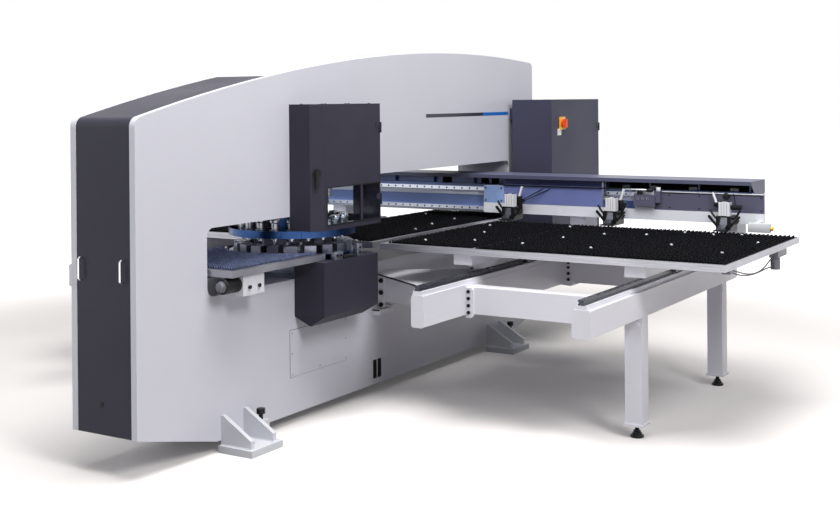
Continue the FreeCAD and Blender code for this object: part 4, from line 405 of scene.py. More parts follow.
TAG = Paint("blank_tag", (240, 240, 240), drift=0.2, gloss=(0.35, 0.45), shade=0.94)
STRIPE_DARK = Paint("stripe_dark", (34, 36, 48), drift=0.1, gloss=(0.3, 0.4), shade=0.9)
STRIPE_BLUE = Paint("stripe_blue", (20, 112, 200), drift=0.1, gloss=(0.3, 0.4), shade=0.9)
CABLE = Paint("cable_black", (30, 30, 33), drift=0.3, peel_scale=1500.0, peel_depth=0.1,
              gloss=(0.38, 0.5), shade=0.8)
SENSOR = Paint("sensor_grey", (116, 117, 124), drift=0.5, speckle=0.15, gloss=(0.32, 0.45), shade=0.75)
BALL = Paint("ball_white", (176, 178, 184), drift=0.1, gloss=(0.12, 0.2), shade=0.93, coat=0.4)
BRUSH = Bristle("black_bristle", (22, 23, 30))
# Painted blue light: the pale blue tips of the low front tufts.
BRUSH_LOW = Bristle("low_bristle_painted_blue_light", (158, 174, 222), 0.906, 0.931)
BRUSH_BASE = Paint("brush_base", (12, 12, 14), drift=0.3, gloss=(0.6, 0.75), shade=0.7, specular=0.1)
WINDOW = Clear("window_clear", (238, 243, 247))
# Painted shade: a near-black finish for holes, bores, notches, gaps and the open slot, dark only from the shade
# inside them.
HOLE = Paint("hole_painted_shade", (10, 10, 12), drift=0.2, gloss=(0.7, 0.85), shade=0.8, specular=0.1)

CARRIED_OVER: dict[Finish, tuple[str, ...]] = {
    PLATE: ("side_plate_right", "side_plate_left", "access_panel"),
    EDGE_GREY: ("frame_core", "top_cover"),
    CHARCOAL: ("front_cover", "rear_cover", "head_cover_right", "head_cover_left", "head_door",
               "lower_cover_right", "lower_cover_left"),
    HOOD: ("beam_cover",),
    CABINET: ("cabinet_body", "cabinet_door"),
    POLISHED: ("pull_handles",),
    FOOT: ("feet_front", "feet_rear"),
    BLACK_STEEL: ("levelling_bolts", "levelling_feet", "clamp_bodies"),
    TURRET: ("upper_turret", "lower_turret"),
    SPINDLE: ("spindles",),
    TOOL: ("punch_tools",),
    DIE: ("die_blocks",),
    RAM: ("ram",),
    WINDOW: ("head_window",),
    BLACK_PLASTIC: ("head_latch",),
    ALUMINIUM: ("front_table", "rear_table", "wing_right", "wing_left"),
    SUPPORT: ("support_beams_right", "support_beams_left", "cross_beams", "legs", "table_bracket",
              "wing_channels"),
    RAIL: ("y_rails",),
    BEARING: ("bearing_blocks",),
    CROSS_RAIL: ("x_rails",),
    BEAM: ("carriage_beam",),
    BAR: ("x_carriage",),
    PANEL: ("x_panel",),
    CYLINDER: ("clamp_cylinders",),
    JAW: ("clamp_jaw_1", "clamp_jaw_2", "clamp_jaw_3"),
    YELLOW: ("switch_plate",),
    RED: ("switch_handle",),
    SENSOR: ("sensor_unit",),
}


# ---------------------------------------------------------------------------------------------------
# Surfaces
# ---------------------------------------------------------------------------------------------------


class Surface:
    """Points and faces worked out as arrays, gathered into one mesh."""

    def __init__(self) -> None:
        """Starts with no points and no faces."""
        self.points: list[np.ndarray] = []
        self.faces: list[np.ndarray] = []
        self.count = 0

    def add(self, points: np.ndarray, *faces: np.ndarray) -> "Surface":
        """Adds points and the faces that index them.

        Args:
            points: n by 3 array.
            faces: arrays of m by k indices, one array for each number of corners k.

        Returns:
            This surface.
        """
        points = np.asarray(points, float).reshape(-1, 3)
        self.points.append(points)
        self.faces.extend(np.asarray(part, int) + self.count for part in faces if len(part))
        self.count += len(points)
        return self

    def grid(self, points: np.ndarray, around: bool = False, along: bool = False,
             caps: bool = False) -> "Surface":
        """Adds a sheet of quads over a grid of points.

        The face between rows i and i + 1 and columns j and j + 1 takes the four grid points in the
        order (i, j), (i, j + 1), (i + 1, j + 1), (i + 1, j), so its outside is the side from which rows
        rise while columns run to the right.

        Args:
            points: rows by columns by 3 array.
            around: the last column joins the first.
            along: the last row joins the first.
            caps: the first and last rows are closed with one face each.

        Returns:
            This surface.
        """
        rows, columns = points.shape[:2]
        i = np.arange(rows if along else rows - 1)[:, None]
        j = np.arange(columns if around else columns - 1)[None, :]
        below, above = i * columns, ((i + 1) % rows) * columns
        right = (j + 1) % columns
        quads = np.stack([below + j, below + right, above + right, above + j], axis=-1).reshape(-1, 4)
        ring = np.arange(columns)
        ends = [ring[::-1][None, :], (ring + (rows - 1) * columns)[None, :]] if caps else []
        return self.add(points.reshape(-1, 3), quads, *ends)

    def copies(self, places: np.ndarray | list[POINT], turns: np.ndarray | None = None,
               sizes: np.ndarray | None = None) -> "Surface":
        """Repeats the whole surface at many places.

        Copy k is the surface scaled by sizes[k], turned by turns[k] about Z and moved to places[k].

        Args:
            places: n points.
            turns: n angles in radians, or None.
            sizes: n by 3 scales, or None.

        Returns:
            A new surface with every copy.
        """
        places = np.asarray(places, float).reshape(-1, 3)
        base = np.concatenate(self.points)
        spread = np.broadcast_to(base, (len(places), *base.shape)).copy()
        if sizes is not None:
            spread *= np.asarray(sizes, float)[:, None, :]
        if turns is not None:
            cos, sin = np.cos(turns)[:, None], np.sin(turns)[:, None]
            x, y = spread[..., 0].copy(), spread[..., 1].copy()
            spread[..., 0] = x * cos - y * sin
            spread[..., 1] = x * sin + y * cos
        spread += places[:, None, :]
        step = (np.arange(len(places)) * len(base))[:, None, None]
        return Surface().add(spread, *[(part[None] + step).reshape(-1, part.shape[1]) for part in self.faces])

    def join(self, *others: "Surface") -> "Surface":
        """Adds other surfaces to this one.

        Args:
            others: surfaces to add.

        Returns:
            This surface.
        """
        for other in others:
            self.points.extend(other.points)
            self.faces.extend(part + self.count for part in other.faces)
            self.count += other.count
        return self

    def turned(self, axis: str) -> "Surface":
        """Lays a surface that was made about Z along another axis.

        Args:
            axis: X, Y or -Y, the way in which the surface's own Z then points.

        Returns:
            This surface.
        """
        order, sign = {"X": ((2, 0, 1), 1.0), "Y": ((1, 2, 0), 1.0), "-Y": ((0, 2, 1), -1.0)}[axis]
        self.points = [part[:, order] * np.array([1.0, sign, 1.0]) for part in self.points]
        return self

    def moved(self, place: POINT) -> "Surface":
        """Moves the surface by a step along X, Y and Z, and gives it back."""
        self.points = [part + np.array(place, float) for part in self.points]
        return self

    def piece(self, name: str, finish: Finish, body: str, slot: str, sharp: float = 32.0) -> bpy.types.Object:
        """Makes the Blender object of this surface and lets it ride on a body.

        Args:
            name: name of the piece.
            finish: its finish.
            body: body of the frame on which it rides.
            slot: material slot of the record; not used.
            sharp: edges sharper than this angle in degrees stay sharp.

        Returns:
            The object.
        """
        points = np.concatenate(self.points)
        mesh = bpy.data.meshes.new(name)
        mesh.vertices.add(len(points))
        mesh.vertices.foreach_set("co", points.astype(np.float32).ravel())
        loops = np.concatenate([part.ravel() for part in self.faces])
        totals = np.concatenate([np.full(len(part), part.shape[1]) for part in self.faces])
        mesh.loops.add(len(loops))
        mesh.loops.foreach_set("vertex_index", loops.astype(np.int32))
        mesh.polygons.add(len(totals))
        mesh.polygons.foreach_set("loop_start", np.concatenate([[0], np.cumsum(totals)[:-1]]).astype(np.int32))
        mesh.polygons.foreach_set("use_smooth", np.ones(len(totals), bool))
        mesh.update(calc_edges=True)
        mesh.validate()
        mesh.set_sharp_from_angle(angle=math.radians(sharp))
        mesh.materials.append(finish.made())
        made = bpy.data.objects.new(name, mesh)
        bpy.context.scene.collection.objects.link(made)
        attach(made, body)
        LOG.info("%s: %d faces on %s", name, len(totals), body)
        return made


def circle(sides: int) -> np.ndarray:
    """Gives unit points round a circle: the point at angle a is (cos a, sin a)."""
    angle = np.linspace(0.0, 2.0 * math.pi, sides, endpoint=False)
    return np.stack([np.cos(angle), np.sin(angle)], axis=-1)


def ring_rows(profile: list[SPAN] | np.ndarray, sides: int) -> np.ndarray:
    """Turns a profile about Z: the point (r, z) at angle a becomes (r cos a, r sin a, z).

    Args:
        profile: (radius, height) pairs.
        sides: points round the axis.

    Returns:
        One row of points for each pair.
    """
    rows = np.array(profile, float)
    points = np.empty((len(rows), sides, 3))
    points[..., :2] = rows[:, :1, None] * circle(sides)[None]
    points[..., 2] = rows[:, 1:]
    return points


def revolved(profile: list[SPAN], sides: int = 24) -> Surface:
    """Turns a profile, from its lower end to its upper end on the outside, into a closed body."""
    return Surface().grid(ring_rows(profile, sides), around=True, caps=True)


def ring_band(inner: float, outer: float, low: float, high: float, sides: int = 32) -> Surface:
    """Turns a rectangle with two bevelled outer corners about Z into a closed ring.

    Args:
        inner: inner radius.
        outer: outer radius.
        low: lower face.
        high: upper face.
        sides: points round the axis.

    Returns:
        The closed ring.
    """
    edge = 0.12 * min(outer - inner, high - low)
    corners = [(inner, low), (outer - edge, low), (outer, low + edge), (outer, high - edge),
               (outer - edge, high), (inner, high)]
    return Surface().grid(ring_rows(corners, sides), around=True, along=True)


def rounded_box(low: POINT, high: POINT, radius: float = 0.002, steps: int = 1) -> Surface:
    """Makes a box with rounded edges as one grid.

    The point at azimuth a and elevation e lies at the box's inner corner of that octant plus
    radius times (cos e cos a, cos e sin a, sin e).

    Args:
        low: lowest corner.
        high: highest corner.
        radius: radius of the edges.
        steps: faces across each rounded edge.

    Returns:
        The closed surface.
    """
    low_corner, high_corner = np.array(low, float), np.array(high, float)
    centre, half = (low_corner + high_corner) / 2, (high_corner - low_corner) / 2
    radius = min(radius, 0.98 * float(half.min()))
    inner = half - radius
    quarter = np.linspace(0.0, math.pi / 2, steps + 1)
    azimuth = np.concatenate([quarter + turn * math.pi / 2 for turn in range(4)])
    sign_x = np.repeat([1, -1, -1, 1], steps + 1)
    sign_y = np.repeat([1, 1, -1, -1], steps + 1)
    elevation = np.concatenate([quarter - math.pi / 2, quarter])
    sign_z = np.repeat([-1, 1], steps + 1)
    points = np.empty((len(elevation), len(azimuth), 3))
    points[..., 0] = sign_x * inner[0] + radius * np.cos(elevation)[:, None] * np.cos(azimuth)
    points[..., 1] = sign_y * inner[1] + radius * np.cos(elevation)[:, None] * np.sin(azimuth)
    points[..., 2] = (sign_z * inner[2] + radius * np.sin(elevation))[:, None]
    points[0, :, :2] = np.stack([sign_x * inner[0], sign_y * inner[1]], axis=-1) * 0.999
    points[-1, :, :2] = points[0, :, :2]
    return Surface().grid(points + centre, around=True, caps=True)


def boxes(corners: list[tuple[POINT, POINT]], radius: float, steps: int = 1) -> Surface:
    """Joins one rounded box for each pair of lowest and highest corner."""
    return Surface().join(*[rounded_box(low, high, radius, steps) for low, high in corners])


def strips_round(x: SPAN, y: SPAN, z: SPAN, wide: float, radius: float) -> Surface:
    """Frames an opening that faces along X with four strips: bottom, top, front and rear.

    Args:
        x: back and face of the strips.
        y: front and rear of the opening.
        z: lower and upper edge of the opening.
        wide: width of the strips.
        radius: radius of their edges.

    Returns:
        The four strips.
    """
    outer_y, outer_z = (y[0] - wide, y[1] + wide), (z[0] - wide, z[1] + wide)
    sides = ((outer_y, (outer_z[0], z[0])), (outer_y, (z[1], outer_z[1])), ((outer_y[0], y[0]), z),
             ((y[1], outer_y[1]), z))
    return boxes([((x[0], along[0], up[0]), (x[1], along[1], up[1])) for along, up in sides], radius)


def tube(path: np.ndarray | list[POINT], radius: float, sides: int = 10, aside: POINT = ALONG_X) -> Surface:
    """Carries a circle along a path.

    At each point the tangent t is the slope of the path, n = t x aside, b = t x n, and the circle's
    point at angle a is p + radius (cos a n + sin a b).

    Args:
        path: points of the centre line.
        radius: radius of the tube.
        sides: points round the tube.
        aside: a direction that no part of the path follows.

    Returns:
        The tube with closed ends.
    """
    path = np.asarray(path, float)
    tangent = np.gradient(path, axis=0)
    tangent /= np.linalg.norm(tangent, axis=1, keepdims=True)
    normal = np.cross(tangent, np.array(aside, float))
    normal /= np.linalg.norm(normal, axis=1, keepdims=True)
    binormal = np.cross(tangent, normal)
    ring = circle(sides)
    points = path[:, None, :] + radius * (ring[None, :, :1] * normal[:, None, :]
                                          + ring[None, :, 1:] * binormal[:, None, :])
    return Surface().grid(points, around=True, caps=True)


def bent(corners: list[POINT], steps: int) -> np.ndarray:
    """Rounds a path of straight runs: at each inner corner it is the parabola between the midpoints.

    Args:
        corners: corners of the path.
        steps: points on each rounded corner.

    Returns:
        Points along the rounded path.
    """
    route = np.array(corners, float)
    middle = (route[1:] + route[:-1]) / 2
    share = np.linspace(0.0, 1.0, steps)[:, None]
    bends = [(1 - share) ** 2 * middle[k] + 2 * share * (1 - share) * route[k + 1] + share ** 2 * middle[k + 1]
             for k in range(len(middle) - 1)]
    return np.concatenate([route[:1], *bends, route[-1:]])


def socket_screw(radius: float, high: float) -> Surface:
    """Makes a socket head screw along Z: a turned head with a rounded rim and a hexagon socket.

    The socket's rows share the head's twelve points, every second one drawn in by cos 30 degrees.

    Args:
        radius: radius of the head.
        high: height of the head above z = 0.

    Returns:
        The screw head.
    """
    points = ring_rows([(radius, 0.0), (radius, 0.86 * high), (0.86 * radius, high), (0.54 * radius, high),
                        (0.52 * radius, 0.4 * high)], 12)
    points[3:, 1::2, :2] *= math.cos(math.pi / 6)
    return Surface().grid(points, around=True, caps=True)


def hexagon_bolt(radius: float, high: float, washer: float) -> Surface:
    """Makes a hexagon bolt head along Z, with chamfered corners and a washer under it.

    Args:
        radius: radius over the corners.
        high: height of the head.
        washer: thickness of the washer.

    Returns:
        The bolt head.
    """
    head = revolved([(radius, washer), (radius, washer + 0.8 * high), (0.86 * radius, washer + high)], 6)
    return head.join(revolved([(1.28 * radius, 0.0), (1.28 * radius, washer)], 18))


def quarter_lock(profile: list[SPAN], sides: int, low: POINT, high: POINT, radius: float) -> Surface:
    """Makes a quarter-turn lock along Z: a turned plug with a raised bar.

    Args:
        profile: (radius, height) pairs of the plug.
        sides: points round the plug.
        low: lowest corner of the bar.
        high: highest corner of the bar.
        radius: radius of the bar's edges.

    Returns:
        The lock.
    """
    return revolved(profile, sides).join(rounded_box(low, high, radius))


# ---------------------------------------------------------------------------------------------------
# Camera, cables, lights
# ---------------------------------------------------------------------------------------------------


@dataclass
class Studio:
    """Camera at the photograph's place, pale floor, white backdrop and soft lamps."""

    camera_place: POINT = (4.252, -6.143, 1.75)
    camera_turn: float = 31.58
    camera_roll: float = -0.49
    focal_pixels: float = 1220.7
    picture_width: float = 840.0
    picture_rise: float = 161.3
    sensor_width: float = 36.0
    floor_reach: float = 60.0
    floor_level: float = -0.0005
    fade: SPAN = (3.4, 6.5)

    def camera(self) -> None:
        """Makes the camera: level, turned to the machine, with the shift of the photograph."""
        data = bpy.data.cameras.new("camera")
        data.sensor_width = self.sensor_width
        data.lens = self.focal_pixels / self.picture_width * self.sensor_width
        data.shift_y = -self.picture_rise / self.picture_width
        data.clip_start, data.clip_end = 0.05, 300.0
        camera = bpy.data.objects.new("camera", data)
        camera.location = self.camera_place
        camera.rotation_mode = "QUATERNION"
        level = Euler((math.radians(90.0), 0.0, math.radians(self.camera_turn))).to_quaternion()
        camera.rotation_quaternion = level @ Quaternion((0, 0, 1), math.radians(self.camera_roll))
        bpy.context.scene.collection.objects.link(camera)
        bpy.context.scene.camera = camera

    @staticmethod
    def lamps() -> None:
        """Hangs three square area lamps: above, from the right front, and a weak one from the left."""
        for name, place, aim, size, power, colour in (
                ("lamp_above", (1.6, -1.2, 7.5), (0.6, 0.0, 0.5), 4.5, 600.0, (1.0, 0.99, 0.975)),
                ("lamp_right", (7.6, -3.6, 6.8), (0.3, 0.0, 1.1), 3.0, 420.0, (1.0, 1.0, 1.0)),
                ("lamp_left", (-3.5, -8.5, 4.0), (0.0, -0.5, 1.0), 4.0, 190.0, (0.95, 0.97, 1.0))):
            data = bpy.data.lights.new(name, "AREA")
            data.size, data.energy, data.color = size, power, colour
            lamp = bpy.data.objects.new(name, data)
            lamp.location = place
            lamp.rotation_mode = "QUATERNION"
            lamp.rotation_quaternion = (Vector(aim) - Vector(place)).to_track_quat("-Z", "Y")
            bpy.context.scene.collection.objects.link(lamp)

    @staticmethod
    def _choose(tree: TREE, seen: NODE, other: NODE, output: str) -> None:
        """Shows one shader to rays from the camera, from glossy and through clear surfaces.

        Args:
            tree: the node tree.
            seen: shader for those rays.
            other: shader for all other rays.
            output: type of the output node.
        """
        path = add_node(tree, "ShaderNodeLightPath", {}).outputs
        sees = path["Is Camera Ray"]
        for ray in ("Is Glossy Ray", "Is Transmission Ray"):
            sees = add_node(tree, "ShaderNodeMath", {0: sees, 1: path[ray]}, operation="MAXIMUM").outputs[0]
        mix = add_node(tree, "ShaderNodeMixShader", {0: sees, 1: other.outputs[0], 2: seen.outputs[0]})
        add_node(tree, output, {"Surface": mix.outputs[0]})

    def world(self) -> None:
        """Lights the scene evenly, and shows white wherever the camera or a reflection sees past it."""
        world = bpy.data.worlds.new("studio_world")
        world.use_nodes = True
        tree = world.node_tree
        tree.nodes.clear()
        even = add_node(tree, "ShaderNodeBackground", {"Color": (0.97, 0.98, 1.0, 1.0), "Strength": 0.17})
        white = add_node(tree, "ShaderNodeBackground", {"Color": (1.0, 1.0, 1.0, 1.0), "Strength": 1.0})
        self._choose(tree, white, even, "ShaderNodeOutputWorld")
        bpy.context.scene.world = world

    def floor(self) -> None:
        """Lays the floor: matt and pale near the machine with its shadow, and plain white far away."""
        reach = np.linspace(-self.floor_reach, self.floor_reach, 13)
        x, y = np.meshgrid(reach, reach)
        sheet = Surface().grid(np.stack([x, y, np.full_like(x, self.floor_level)], axis=-1))
        mesh = bpy.data.meshes.new("floor")
        mesh.from_pydata(sheet.points[0].tolist(), [], sheet.faces[0].tolist())
        material = bpy.data.materials.new("studio_floor")
        material.use_nodes = True
        tree = material.node_tree
        tree.nodes.clear()
        point = add_node(tree, "ShaderNodeTexCoord", {}).outputs["Object"]
        tone = add_node(tree, "ShaderNodeTexNoise", {"Vector": point, "Scale": 0.6})
        ramp = add_node(tree, "ShaderNodeValToRGB", {"Fac": tone.outputs["Fac"]})
        ramp.color_ramp.elements[0].color = (0.90, 0.865, 0.845, 1.0)
        ramp.color_ramp.elements[1].color = (0.94, 0.905, 0.885, 1.0)
        pale = add_node(tree, "ShaderNodeBsdfDiffuse", {"Color": ramp.outputs["Color"]})
        dim = add_node(tree, "ShaderNodeBsdfDiffuse", {"Color": (0.34, 0.33, 0.33, 1.0)})
        away = add_node(tree, "ShaderNodeVectorMath", {0: point}, operation="LENGTH")
        fade = add_node(tree, "ShaderNodeMapRange", {
            "Value": away.outputs["Value"], "From Min": self.fade[0], "From Max": self.fade[1],
            "To Min": 0.06, "To Max": 1.0}, interpolation_type="SMOOTHSTEP")
        glow = add_node(tree, "ShaderNodeEmission", {"Strength": fade.outputs["Result"]})
        both = add_node(tree, "ShaderNodeAddShader", {0: pale.outputs[0], 1: glow.outputs[0]})
        self._choose(tree, both, dim, "ShaderNodeOutputMaterial")
        mesh.materials.append(material)
        floor = bpy.data.objects.new("floor", mesh)
        bpy.context.scene.collection.objects.link(floor)

    def build(self) -> None:
        """Builds camera, world, lamps and floor."""
        bpy.context.scene.view_settings.view_transform = "Standard"
        self.camera()
        self.world()
        self.lamps()
        self.floor()
        LOG.info("studio ready")


@dataclass
class SensorCables:
    """The two cables from the corner sensor along the outer edge of the right wing table."""

    diameter: float = 0.007
    routes: dict[str, tuple[float, list[POINT]]] = field(default_factory=lambda: {
        "sensor_cable_1": (0.8307, [
            (2.399, -0.262, 0.889), (2.399, -0.208, 0.889), (2.404, -0.109, 0.869), (2.407, -0.008, 0.847),
            (2.408, 0.094, 0.833), (2.408, 0.198, 0.827), (2.406, 0.300, 0.831), (2.403, 0.402, 0.846),
            (2.400, 0.498, 0.868), (2.400, 0.560, 0.868)]),
        "sensor_cable_2": (0.8246, [
            (2.386, -0.262, 0.886), (2.386, -0.206, 0.886), (2.390, -0.106, 0.856), (2.395, -0.004, 0.837),
            (2.397, 0.098, 0.826), (2.398, 0.202, 0.821), (2.397, 0.304, 0.820), (2.396, 0.406, 0.823),
            (2.395, 0.502, 0.819), (2.395, 0.556, 0.819)]),
    })

    def build(self) -> None:
        """Makes each cable as a smooth curve through the middle of its tube."""
        for node, (length, route) in self.routes.items():
            data = bpy.data.curves.new(f"{node}_line", "CURVE")
            data.dimensions = "3D"
            line = data.splines.new("NURBS")
            line.points.add(len(route) - 1)
            for point, place in zip(line.points, route):
                point.co = (*place, 1.0)
            line.order_u = 3
            line.use_endpoint_u = True
            line.resolution_u = 8
            data.bevel_depth = self.diameter / 2
            data.bevel_resolution = 3
            data.use_fill_caps = True
            data.materials.append(CABLE.made())
            cable = bpy.data.objects.new(f"{node}_sheath", data)
            bpy.context.scene.collection.objects.link(cable)
            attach(cable, "y_carriage")
            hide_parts(node)
            LOG.info("%s laid", node)


# ---------------------------------------------------------------------------------------------------
# Tables
# ---------------------------------------------------------------------------------------------------


@dataclass
class BrushField:
    """One field of bristle tufts on its backing sheet."""

    low: SPAN
    high: SPAN
    seed: int
    pitch: float = 0.025
    root: float = 0.0085
    spread: float = 0.0118
    base: float = 0.906
    top: float = 0.9455
    stray: float = 0.0012
    hole: tuple[float, float, float] | None = None

    def tuft(self) -> Surface:
        """Makes one tuft of unit height: rings of growing radius, a ragged upper rim and a crown.

        Returns:
            The tuft at the origin.
        """
        sides = 6
        points = ring_rows([(self.root / 2, 0.0), (0.5 * (self.root + self.spread) / 2, 0.55),
                            (self.spread / 2, 1.0)], sides)
        points[2, ::2, 2] -= 0.07
        rim = np.arange(sides)
        crown = np.stack([rim - sides, (rim + 1) % sides - sides, np.zeros(sides, int)], axis=-1)
        return Surface().grid(points, around=True).add([(0.0, 0.0, 0.93)], crown)

    def places(self) -> tuple[np.ndarray, np.random.Generator]:
        """Sets the tufts on a grid, each a little off its place, clear of the turret.

        Returns:
            n by 3 places of the roots, and the seeded generator.
        """
        random = np.random.default_rng(self.seed)
        counts = [max(2, int(round((self.high[k] - self.low[k]) / self.pitch))) for k in (0, 1)]
        x, y = (np.linspace(self.low[k], self.high[k], counts[k] + 1)[:-1] + (self.high[k] - self.low[k])
                / counts[k] / 2 for k in (0, 1))
        grid_x, grid_y = np.meshgrid(x, y)
        flat = np.stack([grid_x.ravel(), grid_y.ravel()], axis=-1)
        flat += random.uniform(-self.stray, self.stray, flat.shape)
        if self.hole:
            away = np.hypot(flat[:, 0] - self.hole[0], flat[:, 1] - self.hole[1])
            flat = flat[away > self.hole[2]]
        return np.column_stack([flat, np.full(len(flat), self.base)]), random

    def build(self) -> Surface:
        """Makes every tuft of the field.

        Returns:
            The tufts.
        """
        places, random = self.places()
        sizes = np.ones((len(places), 3))
        sizes[:, 2] = (self.top - self.base) * random.uniform(0.93, 1.0, len(places))
        sizes[:, :2] *= random.uniform(0.9, 1.12, (len(places), 1))
        return self.tuft().copies(places, random.uniform(0, 2 * math.pi, len(places)), sizes)

    def sheet(self) -> Surface:
        """Makes the backing sheet of the field, cut round the turret where it has a hole.

        The front or rear edge of the sheet at x is moved to the turret's clearance circle, at
        y = centre + or - sqrt(room^2 - x^2), where that circle reaches into the field.

        Returns:
            The sheet.
        """
        low, high = self.base + 0.0001, self.base + 0.0065
        x = np.linspace(self.low[0], self.high[0], 25)
        front, rear = np.full_like(x, self.low[1]), np.full_like(x, self.high[1])
        if self.hole:
            reach = np.sqrt(np.maximum(self.hole[2] ** 2 - (x - self.hole[0]) ** 2, 0.0))
            if self.low[1] < self.hole[1]:
                rear = np.where(reach > 0, np.minimum(rear, self.hole[1] - reach), rear)
            else:
                front = np.where(reach > 0, np.maximum(front, self.hole[1] + reach), front)
        rows = [np.column_stack([x, y, np.full_like(x, z)])
                for y, z in ((rear, low), (front, low), (front, high), (rear, high))]
        return Surface().grid(np.stack(rows), along=True)


@dataclass
class Tables:
    """Brush fields, ball transfers and fastenings of the fixed and the moving tables."""

    turret: SPAN = (0.0, -0.617)
    turret_room: float = 0.385
    centre_half: float = 0.329
    wing_inner: float = 0.456
    wing_outer: dict[int, float] = field(default_factory=lambda: {1: 2.410, -1: 1.970})
    wing_front: float = -0.335
    wing_rear: float = 0.986
    seam: float = 1.010
    seam_gap: float = 0.005
    front_drop: float = 0.015
    edge_top: float = 0.932
    pad_wide: float = 0.028
    pad_faces: SPAN = (0.9310, 0.9336)
    ball_radius: float = 0.0090
    ball_top: float = 0.9485
    balls_right: tuple[SPAN, ...] = (
        (0.615, -0.180), (0.870, -0.060), (1.181, -0.073), (1.594, -0.080), (2.275, 0.035), (0.720, 0.330),
        (1.260, 0.290), (1.927, 0.246), (1.629, 0.648), (2.313, 0.551), (0.560, 0.700), (1.048, 0.846),
        (1.973, 0.824), (2.121, 0.888), (1.788, 0.860), (1.400, 0.560))
    balls_left: tuple[SPAN, ...] = (
        (-0.620, -0.170), (-0.980, -0.080), (-1.420, -0.110), (-1.820, 0.020), (-0.760, 0.330),
        (-1.240, 0.300), (-1.700, 0.420), (-0.600, 0.700), (-1.080, 0.820), (-1.560, 0.800))
    balls_rear: tuple[SPAN, ...] = (
        (0.259, 0.286), (0.184, 0.609), (-0.240, 0.020), (-0.200, 0.450), (0.150, 0.960), (-0.210, 1.180))

    def fields(self) -> dict[str, tuple[str, tuple[str, ...], list[BrushField]]]:
        """Lists the brush fields.

        Returns:
            Piece name to (body, CAD nodes that it stands for, fields).
        """
        hole = (*self.turret, self.turret_room)
        half, inner, front, rear = self.centre_half, self.wing_inner, self.wing_front, self.wing_rear
        near, far = self.seam - self.seam_gap, self.seam + self.seam_gap
        return {
            "centre_tufts": ("frame", ("centre_brushes",), [
                BrushField((-half, -0.340), (half, 1.503), 2, hole=hole)]),
            "front_tufts": ("frame", (), [
                BrushField((-half, -1.535), (half, -0.831), 1, 0.0158, 0.0056, 0.0076,
                           0.906 - self.front_drop, 0.9305, 0.0004, hole)]),
            "right_wing_tufts": ("y_carriage", ("wing_brushes_right",), [
                BrushField((inner, front), (near, rear), 3),
                BrushField((far, front), (self.wing_outer[1], rear), 4)]),
            "left_wing_tufts": ("y_carriage", ("wing_brushes_left",), [
                BrushField((-near, front), (-inner, rear), 5),
                BrushField((-self.wing_outer[-1], front), (-far, rear), 6)]),
        }

    def brushes(self) -> None:
        """Builds the brush fields, the black sheets under them and the black pads along the wing edges."""
        for name, (body, nodes, fields) in self.fields().items():
            tufts, sheets = Surface(), Surface()
            for one in fields:
                tufts.join(one.build())
                sheets.join(one.sheet())
            # The front tufts take the painted blue light of BRUSH_LOW.
            finish = BRUSH_LOW if name == "front_tufts" else BRUSH
            made = tufts.piece(name, finish, body, "brushes", 60.0)
            if nodes:
                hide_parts(*nodes)
            sheets.piece(f"{name}_backing", BRUSH_BASE, body, "brushes")
        low, high = self.pad_faces
        pads = []
        for side, outer in self.wing_outer.items():
            ends = [(self.wing_inner, outer + 0.002), (outer + 0.002 - self.pad_wide, outer + 0.002)]
            for (x0, x1), (y0, y1) in zip(ends, ((0.904, 0.988), (self.wing_front, 0.903))):
                near, far = sorted((side * x0, side * x1))
                pads.append(((near, y0, low), (far, y1, high)))
        boxes(pads, 0.0006).piece("wing_brush_edge_pads", BRUSH_BASE, "y_carriage", "brushes")

    def ball_units(self) -> None:
        """Builds the ball transfers: a pale ball held in a turned black cup."""
        radius, rim = self.ball_radius, 0.9385
        angle = np.linspace(-0.35 * math.pi, 0.5 * math.pi, 8)
        ball = revolved([(max(radius * math.cos(a), 0.0004), self.ball_top - radius + radius * math.sin(a))
                         for a in angle], 16)
        cup = revolved([(0.0125, 0.906), (0.0125, 0.936), (0.0112, rim), (radius * 0.98, rim)], 16)
        for name, body, spots in (("right", "y_carriage", self.balls_right),
                                  ("left", "y_carriage", self.balls_left), ("rear", "frame", self.balls_rear)):
            places = [(x, y, 0.0) for x, y in spots]
            ball.copies(places).piece(f"{name}_balls", BALL, body, "white_paint", 60.0)
            cup.copies(places).piece(f"{name}_ball_cups", BLACK_PLASTIC, body, "brushes")

    def edge_screws(self) -> None:
        """Builds the countersunk screws along the front edge of the wings and the sides of the fixed tables."""
        screw = revolved([(0.0048, 0.0), (0.0048, 0.0004), (0.0030, 0.0007)], 12)
        wing = [(side * x, -0.351, self.edge_top) for side, outer in self.wing_outer.items()
                for x in np.linspace(0.52, outer - 0.095, 9)]
        screw.copies(wing).piece("wing_edge_screws", ZINC, "y_carriage", "aluminium")
        fixed = [(side * 0.345, y, self.edge_top - (self.front_drop if y < -0.8 else 0.0)) for side in (1, -1)
                 for y in (-1.50, -1.32, -1.14, -0.20, 0.06, 0.32, 0.58, 0.84, 1.10, 1.36)]
        screw.copies(fixed).piece("table_edge_screws", ZINC, "frame", "aluminium")

